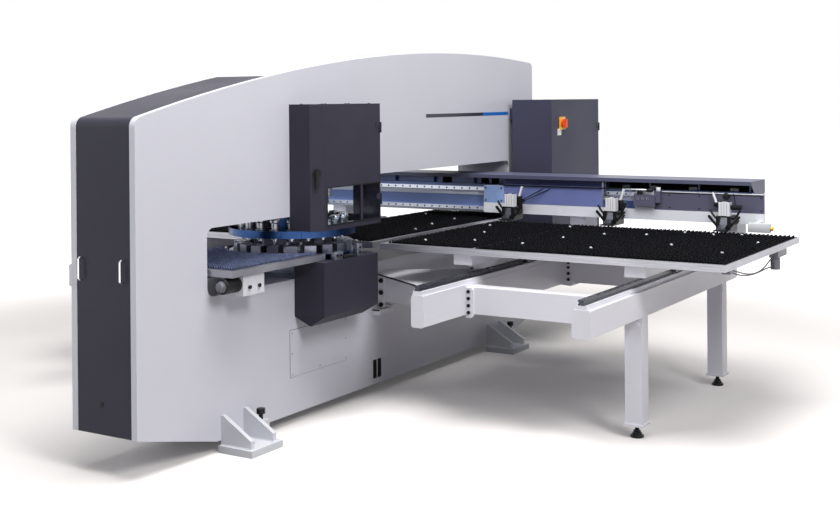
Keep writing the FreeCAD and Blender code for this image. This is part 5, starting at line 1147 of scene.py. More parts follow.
    def edge_lines(self) -> None:
        """Draws the grooves of the drawn edge profile and the butt joints of the wing edges."""
        deep, proud, wide = 0.0005, 0.0004, 0.0016
        lines = []
        for side, outer in self.wing_outer.items():
            outer += 0.010
            for z in (0.9075, 0.9200):
                x0, x1 = sorted((side * 0.427, side * (outer - 0.002)))
                lines.append(((x0, -0.3664, z), (x1, -0.3655, z + wide)))
                near, far = sorted((side * (outer - deep), side * (outer + proud)))
                lines.append(((near, -0.364, z), (far, 1.002, z + wide)))
        joints = [((x - 0.0007, -0.3665, 0.899), (x + 0.0007, -0.336, 0.9323)) for x in (self.seam, -self.seam)]
        grooves = boxes(lines, 0.0003).join(boxes(joints, 0.0002))
        grooves.piece("wing_edge_lines", GROOVE, "y_carriage", "aluminium")
        fixed = []
        for z in (0.8925, 0.9050):
            fixed += [((-0.358, -1.5664, z), (0.358, -1.5655, z + wide)),
                      ((0.3595, -1.564, z), (0.3604, -0.90, z + wide))]
        boxes(fixed, 0.0003).piece("front_table_edge_lines", GROOVE, "frame", "aluminium")

    def build(self) -> None:
        """Builds everything on the tables."""
        self.brushes()
        self.ball_units()
        self.edge_screws()
        self.edge_lines()


# ---------------------------------------------------------------------------------------------------
# Frame
# ---------------------------------------------------------------------------------------------------


@dataclass
class FrameTrim:
    """Stripe, joint, lock, openings and screws of the frame, the welds of its feet, and the table motor."""

    side: float = 0.210
    stripe_height: float = 1.640
    stripe_wide: float = 0.023
    stripe_start: float = 0.503
    stripe_change: float = 1.260
    stripe_end: float = 1.633
    panel_y: SPAN = (-0.924, -0.394)
    panel_z: SPAN = (0.256, 0.508)
    panel_face: float = 0.213
    rear_face: float = 2.0210
    lock_place: POINT = (-0.02, -2.0632, 0.33)
    opening_z: SPAN = (0.094, 0.197)
    foot_y: float = 1.388
    foot_top: float = 0.035
    gusset_y: float = 0.087
    gusset_half: float = 0.013
    weld_long: float = 0.185
    weld_radius: float = 0.0042
    motor_place: POINT = (0.300, -1.470, 0.8385)

    def stripe(self) -> None:
        """Lays the plain two-colour stripe on both side plates."""
        low, high = self.stripe_height - self.stripe_wide / 2, self.stripe_height + self.stripe_wide / 2
        for name, finish, start, end in (("stripe_dark", STRIPE_DARK, self.stripe_start, self.stripe_change),
                                         ("stripe_blue", STRIPE_BLUE, self.stripe_change, self.stripe_end)):
            faces = [sorted((sign * self.side, sign * (self.side + 0.0006))) for sign in (1, -1)]
            made = boxes([((near, start, low), (far, end, high)) for near, far in faces], 0.0002)
            made.piece(name, finish, "frame", "plates")

    def screws(self) -> None:
        """Sets screws round the access panel and down the rear cover."""
        profile = [(0.0062, 0.0), (0.0062, 0.0012), (0.0045, 0.0028), (0.0018, 0.0030)]
        spots = [(self.panel_face, y, z) for y in (-0.908, -0.659, -0.410) for z in (0.272, 0.492)]
        spots += [(self.panel_face, y, 0.382) for y in (-0.908, -0.410)]
        revolved(profile, 14).turned("X").copies(spots).piece("access_panel_screws", ZINC, "frame", "bolts")
        rear = [(x, self.rear_face, z) for x in (-0.155, 0.155) for z in (0.26, 0.70, 1.14, 1.58, 1.90)]
        revolved(profile, 14).turned("Y").copies(rear).piece("rear_cover_screws", BLACK_STEEL, "frame", "bolts")

    def panel_seam(self) -> None:
        """Draws the dark joint round the access panel, four thin strips on the side plate."""
        faces = (self.side - 0.0002, self.side + 0.0008)
        seam = strips_round(faces, self.panel_y, self.panel_z, 0.0022, 0.0003)
        seam.piece("access_panel_seam", DARK_GREY, "frame", "plates")

    def lock(self) -> None:
        """Sets the small quarter-turn lock of the front cover."""
        lock = quarter_lock([(0.013, 0.0), (0.013, 0.002), (0.0105, 0.0038), (0.004, 0.0038)], 20,
                            (-0.0015, -0.007, 0.003), (0.0015, 0.007, 0.0044), 0.0004)
        lock.turned("-Y").moved(self.lock_place).piece("front_cover_lock", BLACK_PLASTIC, "frame", "bolts")

    def openings(self) -> None:
        """Frames the two small openings low on the right side plate, filled with painted shade."""
        holes, frames = Surface(), Surface()
        low, high = self.opening_z
        for front, rear in ((-0.122, -0.093), (-0.074, -0.045)):
            holes.join(rounded_box((self.side - 0.0002, front, low), (self.side + 0.0006, rear, high), 0.0003))
            faces = (self.side, self.side + 0.0025)
            frames.join(strips_round(faces, (front, rear), self.opening_z, 0.004, 0.0008))
        holes.piece("side_openings_painted_shade", HOLE, "frame", "dark_paint")
        frames.piece("side_opening_rims", BLACK_PLASTIC, "frame", "dark_paint")

    def welds(self) -> None:
        """Runs weld beads where the gussets of the feet meet their base plates.

        Each bead is a quarter tube whose radius swells by a tenth in ripples along its length.
        """
        beads = Surface()
        length = np.linspace(0.0, self.weld_long, 60)
        ripple = self.weld_radius * (1.0 + 0.1 * np.sin(length * 2 * math.pi / 0.006))
        angle = np.linspace(0.0, math.pi / 2, 4)
        feet, gussets = (-self.foot_y, self.foot_y), (-self.gusset_y, self.gusset_y)
        for foot, sign, gusset, face in product(feet, (1, -1), gussets, (1, -1)):
            points = np.empty((len(length), len(angle), 3))
            points[..., 0] = sign * (self.side + length)[:, None]
            points[..., 1] = foot + gusset + face * (self.gusset_half + ripple[:, None] * np.cos(angle))
            points[..., 2] = self.foot_top + ripple[:, None] * np.sin(angle)
            beads.grid(points if sign * face < 0 else points[:, ::-1])
        beads.piece("foot_welds", FOOT, "frame", "feet", 80.0)

    def table_motor(self) -> None:
        """Builds the small black motor on the bracket under the front table, and the bracket's knobs."""
        body = revolved([(0.0395, 0.0), (0.0395, 0.020), (0.0370, 0.021), (0.0370, 0.030), (0.0395, 0.031),
                         (0.0395, 0.040), (0.0370, 0.041), (0.0370, 0.050), (0.0395, 0.051), (0.0395, 0.104),
                         (0.0370, 0.108), (0.0300, 0.110)], 28)
        body.turned("-Y").moved(self.motor_place).piece("table_motor", BLACK_PLASTIC, "frame", "dark_paint")
        end = revolved([(0.0300, 0.108), (0.0300, 0.110), (0.0230, 0.112), (0.0230, 0.126), (0.0200, 0.130),
                        (0.0100, 0.1305), (0.0090, 0.1340), (0.0030, 0.1345)], 28)
        end.turned("-Y").moved(self.motor_place).piece("table_motor_end", SENSOR, "frame", "aluminium")
        knob = revolved([(0.0060, 0.0), (0.0060, 0.004), (0.0095, 0.005), (0.0095, 0.012),
                         (0.0080, 0.0135)], 18)
        knobs = knob.turned("X").copies([(0.345, y, 0.822) for y in (-1.425, -1.350)])
        knobs.piece("bracket_knobs", BLACK_PLASTIC, "frame", "bolts")

    def build(self) -> None:
        """Builds the trim of the frame."""
        self.stripe()
        self.screws()
        self.panel_seam()
        self.lock()
        self.openings()
        self.welds()
        self.table_motor()


# ---------------------------------------------------------------------------------------------------
# Turrets and their covers
# ---------------------------------------------------------------------------------------------------


@dataclass
class Turrets:
    """Tools, dies and station rings of the two turrets, and the blocks beside the lower one."""

    axis: SPAN = (0.0, -0.617)
    count: int = 20
    circle_radius: float = 0.290
    rim_radius: float = 0.3600
    blue_every: int = 7
    cover_top: float = 0.8795
    block_x: SPAN = (0.3720, 0.4060)
    tool_profile: tuple[SPAN, ...] = (
        (0.0100, 0.9780), (0.0112, 0.9795), (0.0112, 0.9880), (0.0215, 0.9900), (0.0225, 0.9915),
        (0.0225, 1.0400), (0.0225, 1.0480), (0.0175, 1.0490), (0.0175, 1.0770))
    head_profile: tuple[SPAN, ...] = (
        (0.0290, 1.0830), (0.0300, 1.0842), (0.0300, 1.1000), (0.0285, 1.1030), (0.0160, 1.1030),
        (0.0150, 1.1050), (0.0040, 1.1050))

    def angles(self) -> np.ndarray:
        """Gives the turn of every station."""
        return np.arange(self.count) * 2 * math.pi / self.count

    def round_axis(self, radial: float = 0.0, across: float = 0.0, height: float = 0.0) -> np.ndarray:
        """Gives a place at every station, off its middle by a step outwards and one along the circle.

        Args:
            radial: step outwards.
            across: step along the circle.
            height: height of the places.

        Returns:
            n by 3 places.
        """
        angle, radius = self.angles(), self.circle_radius + radial
        return np.stack([self.axis[0] + radius * np.cos(angle) - across * np.sin(angle),
                         self.axis[1] + radius * np.sin(angle) + across * np.cos(angle),
                         np.full(self.count, height)], axis=-1)

    @staticmethod
    def spring() -> Surface:
        """Makes a return spring: the section of a flat wire carried up a helix.

        The wire's centre at turn t is (R cos 2 pi t, R sin 2 pi t, low + pitch t).

        Returns:
            The spring about Z.
        """
        turns, low, pitch, radius, half_wide, half_high = 4, 1.0515, 0.0064, 0.0205, 0.0022, 0.0019
        share = np.linspace(0.0, turns, turns * 14 + 1)
        angle = share * 2 * math.pi
        path = np.stack([radius * np.cos(angle), radius * np.sin(angle), low + pitch * share], axis=-1)
        outward = np.stack([np.cos(angle), np.sin(angle), np.zeros_like(angle)], axis=-1)
        section = np.array([(-1, -1), (1, -1), (1, 1), (-1, 1)]) * (half_wide, half_high)
        points = path[:, None, :] + section[None, :, :1] * outward[:, None, :]
        points[..., 2] += section[None, :, 1]
        return Surface().grid(points[:, ::-1], around=True, caps=True)

    def tools(self) -> None:
        """Builds the punch tools: turned guide, spring and head at every station."""
        places, angle = self.round_axis(), self.angles()
        blue = np.arange(self.count) % self.blue_every == self.blue_every - 1
        head = revolved(list(self.head_profile), 20)
        key = rounded_box((0.0200, -0.0025, 1.0455), (0.0242, 0.0025, 1.0478), 0.0005)
        steel = revolved(list(self.tool_profile), 20).join(key).copies(places, angle)
        steel.join(head.copies(places[~blue], angle[~blue]))
        made = steel.piece("round_punch_tools", TOOL, "upper_turret", "tool_steel")
        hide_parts("punch_tools")
        head.copies(places[blue], angle[blue]).piece("blue_tool_heads", TOOL_BLUE, "upper_turret", "tool_steel")
        self.spring().copies(places, angle).piece("tool_springs", ZINC, "upper_turret", "tool_steel", 50.0)

    def rings(self) -> None:
        """Builds the station rings on the upper turret, and the round dies and screws of the die blocks."""
        places, angle = self.round_axis(), self.angles()
        # The die bores are discs of painted shade.
        for shape, name, finish, body, slot in (
                (ring_band(0.0242, 0.0315, 1.0398, 1.0436, 28), "station_rings", DIE, "upper_turret",
                 "turret_steel"),
                (ring_band(0.0118, 0.0270, 0.9549, 0.9556, 28), "die_rings", TOOL, "lower_turret", "die_steel"),
                (revolved([(0.0115, 0.9551), (0.0115, 0.95525)], 24), "die_bores", HOLE, "lower_turret",
                 "die_steel")):
            shape.copies(places, angle).piece(name, finish, body, slot)
        spots = [self.round_axis(radial, across, 0.9518)
                 for radial, across in product((-0.034, 0.034), (0.022, -0.022))]
        screws = socket_screw(0.0042, 0.0034).copies(np.concatenate(spots))
        screws.piece("die_block_screws", BLACK_STEEL, "lower_turret", "bolts")

    def rims(self) -> None:
        """Builds the index marks round the rims: a small plate of painted notch shade between every two
        stations.
        """
        fine = self.angles() + math.pi / self.count
        for name, body, low, high in (("upper_marks", "upper_turret", 1.006, 1.034),
                                      ("lower_marks", "lower_turret", 0.888, 0.904)):
            inner, outer = self.rim_radius, self.rim_radius + 0.0012
            mark = rounded_box((inner, -0.0008, low), (outer, 0.0008, high), 0.0003)
            mark.copies([(*self.axis, 0.0)] * self.count, fine).piece(name, HOLE, body, "turret_steel")

    def flange_bolts(self) -> None:
        """Bolts the square flange of the lower spindle."""
        spots = [(x, y, 0.8202) for x in (-0.092, 0.092) for y in (-0.709, -0.525)]
        bolts = hexagon_bolt(0.0115, 0.009, 0.0015).copies(spots)
        bolts.piece("lower_spindle_bolts", BLACK_STEEL, "frame", "bolts")

    def side_blocks(self) -> None:
        """Stands two steel blocks and a dark shoe on the lower cover, beside the lower turret."""
        inner, outer = self.block_x
        blocks = boxes([((inner, start, self.cover_top), (outer, end, top))
                        for start, end, top in ((-0.775, -0.700, 0.926), (-0.560, -0.515, 0.946))], 0.003, 2)
        blocks.piece("turret_side_blocks", DIE, "frame", "die_steel")
        shoe = rounded_box((inner - 0.0020, -0.690, self.cover_top), (outer, -0.575, 0.897), 0.003, 2)
        shoe.piece("turret_side_shoe", BLACK_STEEL, "frame", "dark_paint")
        spots = [(outer - 0.0002, y, z) for y, z in ((-0.757, 0.905), (-0.718, 0.905), (-0.5375, 0.900),
                                                     (-0.5375, 0.928))]
        screws = socket_screw(0.0065, 0.005).turned("X").copies(spots)
        screws.piece("turret_side_screws", BLACK_STEEL, "frame", "bolts")

    def build(self) -> None:
        """Builds everything on the turrets."""
        self.tools()
        self.rings()
        self.rims()
        self.flange_bolts()
        self.side_blocks()


@dataclass
class HeadCover:
    """Seal round the window and screws of the guard over the turrets."""

    outer: float = 0.400
    top: float = 1.7250
    window_y: SPAN = (-0.831, -0.331)
    window_z: SPAN = (1.077, 1.273)

    def seal(self) -> None:
        """Lays a thin rubber strip round the window opening."""
        strips = strips_round((self.outer, self.outer + 0.0022), self.window_y, self.window_z, 0.007, 0.0009)
        strips.piece("window_seal", BLACK_PLASTIC, "head_door", "dark_paint")

    def screws(self) -> None:
        """Sets socket screws on the tops of both covers."""
        spots = [(sign * x, y, self.top)
                 for sign, x, y in product((1, -1), (0.235, 0.375), (-0.84, -0.62, -0.39))]
        socket_screw(0.0065, 0.0034).copies(spots).piece("head_cover_screws", BLACK_STEEL, "frame", "bolts")

    def build(self) -> None:
        """Builds the details of the head cover."""
        self.seal()
        self.screws()


# ---------------------------------------------------------------------------------------------------
# Carriage and clamps
# ---------------------------------------------------------------------------------------------------


@dataclass
class Carriage:
    """Rails, rack, slot covers, plates, valves, actuator and limit block of the two carriages."""

    beam_front: float = 1.170
    rail_front: float = 1.150
    rail_end: float = 2.095
    rail_heights: SPAN = (1.003, 1.135)
    slot_low: float = 1.1665
    slot_high: float = 1.2125
    slot_back: float = 1.230
    cover_start: float = 0.430
    cover_end: float = 1.153
    slot_end: float = 2.092
    plate_front: float = 1.1166
    plate_back: float = 1.1182
    plate_low: float = 1.0465
    valve_front: float = 1.0882
    actuator_y: float = 1.100
    actuator_z: float = 1.1655

    def rail_holes(self) -> None:
        """Draws the screw holes as discs of painted shade, one every 60 mm along both rails of the carriage
        beam.
        """
        spots = [(x, self.rail_front + 0.0001, z)
                 for z, x in product(self.rail_heights, np.arange(-2.06, 2.07, 0.06))]
        hole = revolved([(0.0062, 0.0), (0.0062, 0.0003)], 14).turned("-Y")
        hole.copies(spots).piece("cross_rail_holes", HOLE, "y_carriage", "rails")

    def rack(self) -> None:
        """Lays the toothed rack under the upper rail and the bright lip along the foot of the beam."""
        end, back = self.rail_end, self.beam_front + 0.0002
        tooth = rounded_box((-0.0028, 1.1625, 1.0930), (0.0028, 1.1660, 1.1180), 0.0006)
        teeth = tooth.copies([(x, 0.0, 0.0) for x in np.arange(-end + 0.01, end - 0.01, 0.010)])
        teeth.join(rounded_box((-end, 1.1655, 1.0900), (end, back, 1.1205), 0.0008))
        # The rack's blue-white colour is painted blue light.
        teeth.piece("drive_rack", RACK, "y_carriage", "rails")
        lip = rounded_box((-end, 1.1640, 0.9765), (end, back, 0.9870), 0.001)
        lip.piece("beam_lip", BAR, "y_carriage", "rails")

    def slot(self) -> None:
        """Covers the slot along the top of the beam, and fills the part that stays open with painted shade."""
        front, back, low, high = self.beam_front, self.slot_back, self.slot_low, self.slot_high
        covers = ((self.cover_start, 0.672), (0.674, 0.912), (0.914, self.cover_end - 0.004))
        cover = boxes([((start, front - 0.0020, low), (end, front + 0.0010, high))
                       for start, end in covers], 0.0008)
        cover.piece("slot_covers", SLOT_COVER, "y_carriage", "beam_paint")
        edge = rounded_box((self.cover_end - 0.0025, front - 0.0030, 1.1500),
                           (self.cover_end + 0.0025, front + 0.0010, high), 0.0008)
        edge.piece("slot_cover_edge", BAR, "y_carriage", "rails")
        dark = Surface()
        for start, end in ((self.cover_end + 0.004, self.slot_end), (-0.096, -0.024), (0.210, 0.270),
                           (0.291, 0.345)):
            dark.join(rounded_box((start, back - 0.0030, low), (end, back - 0.0002, high), 0.0006),
                      rounded_box((start, front + 0.0008, 1.1662), (end, back - 0.0032, 1.1674), 0.0004))
        dark.piece("slot_inside_painted_shade", HOLE, "y_carriage", "beam_paint")
        fittings = boxes([((x, 1.185, 1.1672), (x + 0.055, 1.215, 1.190))
                          for x in (1.26, 1.44, 1.70, 1.96)], 0.003)
        fittings.piece("slot_fittings", SENSOR, "y_carriage", "beam_paint")

    def plates(self) -> None:
        """Lays the left end plate, a face of painted blue reflection, with its screws, the plate between the
        first clamps, grey with painted blue reflection, and the air pipe.
        """
        front, back, low = self.plate_front, self.plate_back, self.plate_low
        # The end plate face is painted blue reflection.
        face = rounded_box((0.2915, front, low), (0.4385, back, 1.1605), 0.0006)
        face.piece("end_plate_face_painted_reflection", END_REFLECTION, "x_carriage", "carriage_panel")
        spots = [(x, front, z) for x in (0.306, 0.424) for z in (1.062, 1.146)]
        screws = socket_screw(0.0055, 0.0045).turned("-Y").copies(spots)
        screws.piece("end_plate_screws", BLACK_STEEL, "x_carriage", "bolts")
        # The plate between the clamps: grey paint tinted by painted blue reflection.
        plate = rounded_box((0.4400, front, low), (1.1500, back, 1.1740), 0.0006)
        plate.piece("clamp_plate", CLAMP_PLATE, "x_carriage", "carriage_panel")
        edge = rounded_box((1.1510, 1.1140, low), (1.1600, back, 1.2040), 0.0008)
        edge.piece("clamp_plate_edge", ZINC, "x_carriage", "carriage_metal")
        pipe = tube([(x, 1.1115, 1.1680) for x in (0.446, 0.900, 1.378)], 0.0042, 12, ALONG_Z)
        pipe.piece("air_pipe", BLACK_STEEL, "x_carriage", "clamp_black")

    def valves(self) -> None:
        """Builds the ports of the valve block, the actuator above it and the white switch beside it."""
        y, z = self.actuator_y, self.actuator_z
        spots = [(x, self.valve_front, 1.112) for x in (1.403, 1.434, 1.466)]
        ports = ring_band(0.0045, 0.0075, 0.0, 0.0016, 18).turned("-Y").copies(spots)
        ports.piece("valve_ports", ZINC, "x_carriage", "carriage_metal")
        # The port bores are discs of painted shade.
        bores = revolved([(0.0045, 0.0), (0.0045, 0.0004)], 14).turned("-Y").copies(spots)
        bores.piece("valve_port_bores", HOLE, "x_carriage", "clamp_black")
        rod = revolved([(0.0050, 0.0), (0.0050, 0.030), (0.0080, 0.031), (0.0088, 0.033), (0.0088, 0.158),
                        (0.0080, 0.160)], 20)
        rod.turned("X").moved((1.298, y, z)).piece("actuator", ZINC, "x_carriage", "carriage_metal")
        cap = revolved([(0.0095, 0.0), (0.0100, 0.002), (0.0100, 0.036), (0.0080, 0.040)], 20)
        cap.turned("X").moved((1.458, y, z)).piece("actuator_cap", BLACK_PLASTIC, "x_carriage", "clamp_black")
        saddle = rounded_box((1.396, y - 0.009, 1.1365), (1.428, y + 0.009, 1.1620), 0.002)
        saddle.piece("actuator_saddle", BLACK_STEEL, "x_carriage", "clamp_black")
        switch = rounded_box((1.5205, 1.099, 1.1600), (1.5455, 1.1175, 1.1860), 0.003, 2)
        switch.piece("white_switch", CYLINDER, "x_carriage", "clamp_white")

    def limit_block(self) -> None:
        """Builds the light limit block with its yellow cap behind the third clamp."""
        made = rounded_box((2.132, 0.966, 0.950), (2.262, 1.001, 1.004), 0.003, 2)
        made.join(rounded_box((2.148, 1.000, 0.984), (2.182, 1.1145, 1.002), 0.002))
        made.piece("limit_block", FOOT, "x_carriage", "carriage_metal")
        cap = revolved([(0.010, 0.0), (0.0125, 0.002), (0.0125, 0.012), (0.009, 0.0165), (0.003, 0.018)], 18)
        cap.turned("X").moved((2.262, 0.9835, 0.974)).piece("limit_cap", YELLOW, "x_carriage", "yellow")

    def panel_trim(self) -> None:
        """Sets screws on the dark panel, its light upper lip and the dark line of painted shade under the lip.
        """
        spots = [(x, 1.118, z) for x in np.linspace(1.60, 2.17, 4) for z in (1.062, 1.140)]
        screws = socket_screw(0.0045, 0.0025).turned("-Y").copies(spots)
        screws.piece("panel_screws", BLACK_STEEL, "x_carriage", "bolts")
        lip = rounded_box((1.552, 1.1140, 1.1560), (2.186, self.plate_back, 1.1630), 0.0008)
        lip.piece("panel_lip", BAR, "x_carriage", "carriage_metal")
        line = rounded_box((1.552, 1.1165, 1.1500), (2.184, self.plate_back, 1.1560), 0.0004)
        line.piece("panel_lip_shadow_gap", HOLE, "x_carriage", "carriage_panel")

    def build(self) -> None:
        """Builds the details of the carriages."""
        self.rail_holes()
        self.rack()
        self.slot()
        self.plates()
        self.valves()
        self.limit_block()
        self.panel_trim()


@dataclass
class Clamps:
    """Grooved cylinder covers, levers, rods and screws of the three workholder clamps."""

    centres: tuple[float, float, float] = (0.540, 1.255, 1.980)
    cylinder_half: float = 0.033
    cylinder_front: float = 1.002
    cylinder_rear: float = 1.047
    cylinder_low: float = 1.035
    cylinder_high: float = 1.117
    rod_radius: float = 0.0078

    def at_clamps(self, shape: Surface, count: int = 3) -> Surface:
        """Repeats a shape that is made at x = 0 at the first clamps, counted from the left."""
        return shape.copies([(x, 0.0, 0.0) for x in self.centres[:count]])

    def cylinders(self) -> None:
        """Builds the grooves on the front and side of each white cylinder block and the screws on its top."""
        low, high = self.cylinder_low + 0.004, self.cylinder_high - 0.004
        half, front = self.cylinder_half, self.cylinder_front
        grooves = [((x - 0.0013, front - 0.0006, low), (x + 0.0013, front + 0.0004, high))
                   for x in (-0.0165, 0.0, 0.0165)]
        grooves.append(((half - 0.0004, 1.022, low), (half + 0.0006, 1.0245, high)))
        self.at_clamps(boxes(grooves, 0.0003)).piece("cylinder_grooves", GROOVE, "x_carriage", "clamp_black")
        spots = [(x, y, self.cylinder_high) for x in (-0.024, 0.024)
                 for y in (front + 0.010, self.cylinder_rear - 0.010)]
        screws = self.at_clamps(socket_screw(0.0055, 0.005).copies(spots))
        screws.piece("cylinder_screws", BLACK_STEEL, "x_carriage", "bolts")

    def levers(self) -> None:
        """Builds the slanted black levers beside each clamp, round bars that rise outwards."""
        upper = (((0.040, 1.022, 1.015), (0.064, 1.022, 1.022), (0.092, 1.020, 1.070)), 0.0066)
        lower = (((0.043, 1.030, 0.985), (0.066, 1.028, 0.988), (0.084, 1.024, 1.012)), 0.0052)
        made = Surface()
        for sign, (route, radius) in product((1, -1), (upper, lower)):
            made.join(tube(bent([(sign * x, y, z) for x, y, z in route], 5), radius, 10, ALONG_Y))
        self.at_clamps(made).piece("clamp_levers", BLACK_STEEL, "x_carriage", "clamp_black")

    def rods(self) -> None:
        """Builds the white tilted rod behind each of the first two clamps, on its black mount."""
        mount = rounded_box((0.024, 1.064, 1.0345), (0.054, 1.094, 1.1000), 0.003, 2)
        mount.join(rounded_box((0.046, 1.070, 1.0600), (0.074, 1.088, 1.0840), 0.003))
        self.at_clamps(mount, 2).piece("clamp_rod_mounts", BLACK_STEEL, "x_carriage", "clamp_black")
        rod = tube([(0.036, 1.079, 1.096), (0.046, 1.081, 1.130), (0.056, 1.083, 1.164)], self.rod_radius, 16,
                   ALONG_Y)
        self.at_clamps(rod, 2).piece("clamp_rods", CYLINDER, "x_carriage", "clamp_white")
        struts = Surface().join(*[tube(path, 0.0030, 8, ALONG_Z) for path in (
            [(0.598, 1.080, 1.075), (0.670, 1.100, 1.116), (0.738, 1.119, 1.154)],
            [(0.612, 1.080, 1.070), (0.690, 1.102, 1.108), (0.790, 1.119, 1.154)])])
        struts.piece("clamp_struts", BLACK_STEEL, "x_carriage", "clamp_black")

    def third(self) -> None:
        """Builds the fittings round the third clamp: rod on the panel, knob, side block and stay."""
        x = self.centres[2]
        mount = rounded_box((x - 0.088, 1.082, 1.082), (x - 0.058, 1.1185, 1.108), 0.003, 2)
        side = x + self.cylinder_half - 0.0005
        mount.join(rounded_box((side, 1.018, 1.072), (x + 0.098, 1.044, 1.100), 0.004, 2))
        knob = revolved([(0.0120, 0.0), (0.0120, 0.008), (0.0185, 0.010), (0.0190, 0.013), (0.0190, 0.027),
                         (0.0165, 0.031), (0.0080, 0.032)], 22)
        stay = tube([(x + 0.060, 1.034, 1.098), (x + 0.042, 1.074, 1.128), (x + 0.024, 1.116, 1.158)],
                    0.0036, 8, ALONG_X)
        mount.join(knob.turned("-Y").moved((x - 0.018, 1.118, 1.145)), stay)
        mount.piece("third_clamp_fittings", BLACK_STEEL, "x_carriage", "clamp_black")
        rod = tube([(x - 0.074, 1.093, 1.100), (x - 0.086, 1.093, 1.133), (x - 0.098, 1.093, 1.166)],
                   self.rod_radius, 16, ALONG_Y)
        rod.piece("third_clamp_rod", CYLINDER, "x_carriage", "clamp_white")

    def build(self) -> None:
        """Builds the details of the clamps."""
        self.cylinders()
        self.levers()
        self.rods()
        self.third()


# ---------------------------------------------------------------------------------------------------
# Supports and cabinet
# ---------------------------------------------------------------------------------------------------


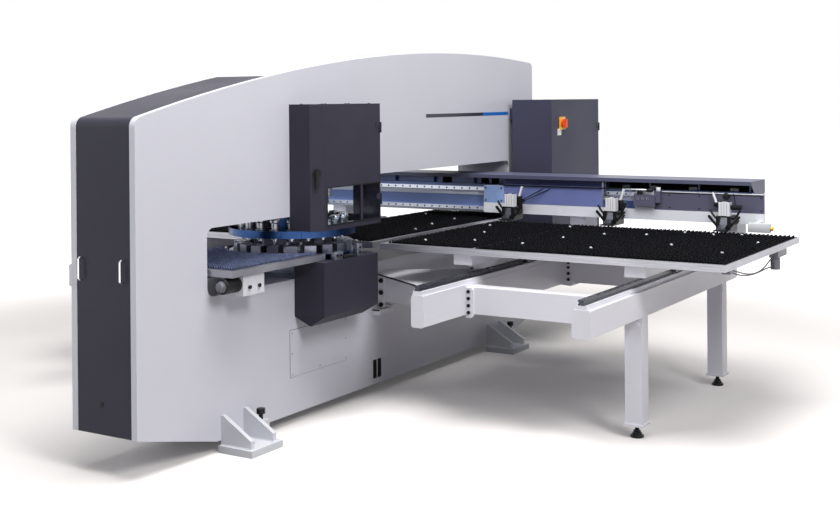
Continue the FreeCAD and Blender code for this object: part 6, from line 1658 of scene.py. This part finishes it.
@dataclass
class Supports:
    """Bolts of the cross beams and stubs, rail holes, plate lips and the turned levelling feet."""

    rail_x: tuple[float, ...] = (1.000, 1.900, -1.000, -1.460)
    rail_top: float = 0.802
    strip_middle: float = 1.052
    strip_front: float = 0.064
    cross_y: SPAN = (-0.396, 0.874)
    cross_bolts: tuple[tuple[float, ...], ...] = ((0.718, 0.681, 0.643, 0.606), (0.723, 0.692, 0.655, 0.617))
    stub_x: float = 0.239
    stub_y: SPAN = (-0.010, 1.100)
    stub_bolts: tuple[float, ...] = (0.526, 0.598, 0.669)
    lip_height: float = 0.7095
    shelf_x: SPAN = (0.2100, 0.2620)
    leg_x: SPAN = (-1.460, 1.900)
    leg_y: SPAN = (-0.210, 1.100)

    def rail_holes(self) -> None:
        """Draws the screw holes as discs of painted shade, one every 80 mm along the table rails."""
        spots = [(x, y, self.rail_top) for x in self.rail_x for y in np.arange(-0.86, 1.32, 0.08)]
        holes = revolved([(0.0065, 0.0), (0.0065, 0.0003)], 14).copies(spots)
        holes.piece("table_rail_holes", HOLE, "frame", "rails")

    def bolts(self) -> None:
        """Sets the rows of black socket screws in the bolted strips of cross beams and stubs."""
        cross = [(sign * self.strip_middle, y, z) for sign in (1, -1)
                 for y, heights in zip(self.cross_y, self.cross_bolts) for z in heights]
        stub = [(sign * self.stub_x, y, z) for sign in (1, -1) for y in self.stub_y for z in self.stub_bolts]
        made = Surface()
        for size, spots in (((0.0098, 0.0080), cross), ((0.0145, 0.0100), stub)):
            for axis, step in (("-Y", -self.strip_front), ("Y", self.strip_front)):
                made.join(socket_screw(*size).turned(axis).copies([(x, y + step, z) for x, y, z in spots]))
        made.piece("strip_bolts", BLACK_STEEL, "frame", "bolts")

    def plate_lips(self) -> None:
        """Edges the flared plates of the front stubs in dark, and hangs the small shelf under each stub."""
        lips, shelves = Surface(), Surface()
        for sign in (1, -1):
            inner, outer = np.array([sign * 0.2105, -0.0885]), np.array([sign * 0.9620, -0.5600])
            path = [(*place, self.lip_height) for place in (inner, (inner + outer) / 2, outer)]
            lips.join(tube(path, 0.0052, 8, ALONG_Z))
            low, high = sorted(sign * x for x in self.shelf_x)
            shelves.join(rounded_box((low, -0.130, 0.4700), (high, 0.020, 0.5000), 0.004, 2))
            lips.join(rounded_box((low, -0.132, 0.4960), (high, -0.126, 0.5040), 0.001))
        lips.piece("stub_plate_lips", BLACK_STEEL, "frame", "dark_paint")
        shelves.piece("stub_shelves", SUPPORT, "frame", "white_paint")

    def feet(self) -> None:
        """Turns the levelling feet: pad with a rounded rim, cone, hexagon nut and threaded stem.

        The stem's thread is the profile of radius R and R - 0.8 mm by turns up its height.
        """
        radius, deep = 0.0110, 0.0008
        pad = revolved([(0.0335, 0.0), (0.0350, 0.0015), (0.0350, 0.0095), (0.0335, 0.0115), (0.0255, 0.0130),
                        (0.0245, 0.0235), (0.0180, 0.0240)], 28)
        nut = revolved([(0.0190, 0.0240), (0.0200, 0.0250), (0.0200, 0.0345), (0.0185, 0.0360)], 6)
        thread = [(radius - deep * (k % 2), float(z)) for k, z in enumerate(np.arange(0.0360, 0.0620, 0.0010))]
        stem = revolved(thread + [(radius, 0.0622)], 18)
        spots = [(x, y, 0.0) for x in self.leg_x for y in self.leg_y]
        made = pad.join(nut, stem).copies(spots).piece("turned_feet", BLACK_STEEL, "frame", "bolts")
        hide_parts("levelling_feet")

    def build(self) -> None:
        """Builds the details of the supports."""
        self.rail_holes()
        self.bolts()
        self.plate_lips()
        self.feet()


@dataclass
class Cabinet:
    """Blank tag and lock of the control cabinet."""

    skin: float = 0.567
    tag_y: SPAN = (1.700, 1.762)
    tag_z: SPAN = (1.483, 1.530)
    lock_y: float = 1.655
    lock_z: float = 1.120

    def build(self) -> None:
        """Sets the blank tag under the main switch and the quarter-turn lock near the door's free edge."""
        tag = rounded_box((self.skin - 0.0002, self.tag_y[0], self.tag_z[0]),
                          (self.skin + 0.0012, self.tag_y[1], self.tag_z[1]), 0.0004)
        tag.piece("switch_tag", TAG, "cabinet_door", "white_paint")
        lock = quarter_lock([(0.0150, 0.0), (0.0150, 0.0030), (0.0130, 0.0050), (0.0050, 0.0052)], 22,
                            (-0.0016, -0.0080, 0.0040), (0.0016, 0.0080, 0.0062), 0.0005)
        lock.turned("X").moved((self.skin, self.lock_y, self.lock_z)).piece(
            "cabinet_lock", BLACK_PLASTIC, "cabinet_door", "bolts")


# ---------------------------------------------------------------------------------------------------
# The whole machine
# ---------------------------------------------------------------------------------------------------


def dress_carried_over(nodes: dict[str, bpy.types.Object]) -> None:
    """Gives each CAD node listed in CARRIED_OVER its finish, and logs the nodes left without one.

    Args:
        nodes: CAD node name to object.
    """
    for finish, names in CARRIED_OVER.items():
        for name in names:
            mesh = nodes[name].data
            mesh.materials.clear()
            mesh.materials.append(finish.made())
    plain = set(nodes) - {name for names in CARRIED_OVER.values() for name in names}
    LOG.info("nodes without a finish of their own: %s", sorted(plain))


def main() -> None:
    """Builds the whole scene in order."""
    logging.basicConfig(level=logging.INFO, format="%(name)s: %(message)s")
    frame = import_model()
    for assembly in (Studio(), SensorCables()):
        assembly.build()
    dress_carried_over(frame["nodes"])
    for assembly in (Tables(), FrameTrim(), Turrets(), HeadCover(), Carriage(), Clamps(), Supports(),
                     Cabinet()):
        assembly.build()


if __name__ == "__main__":
    main()
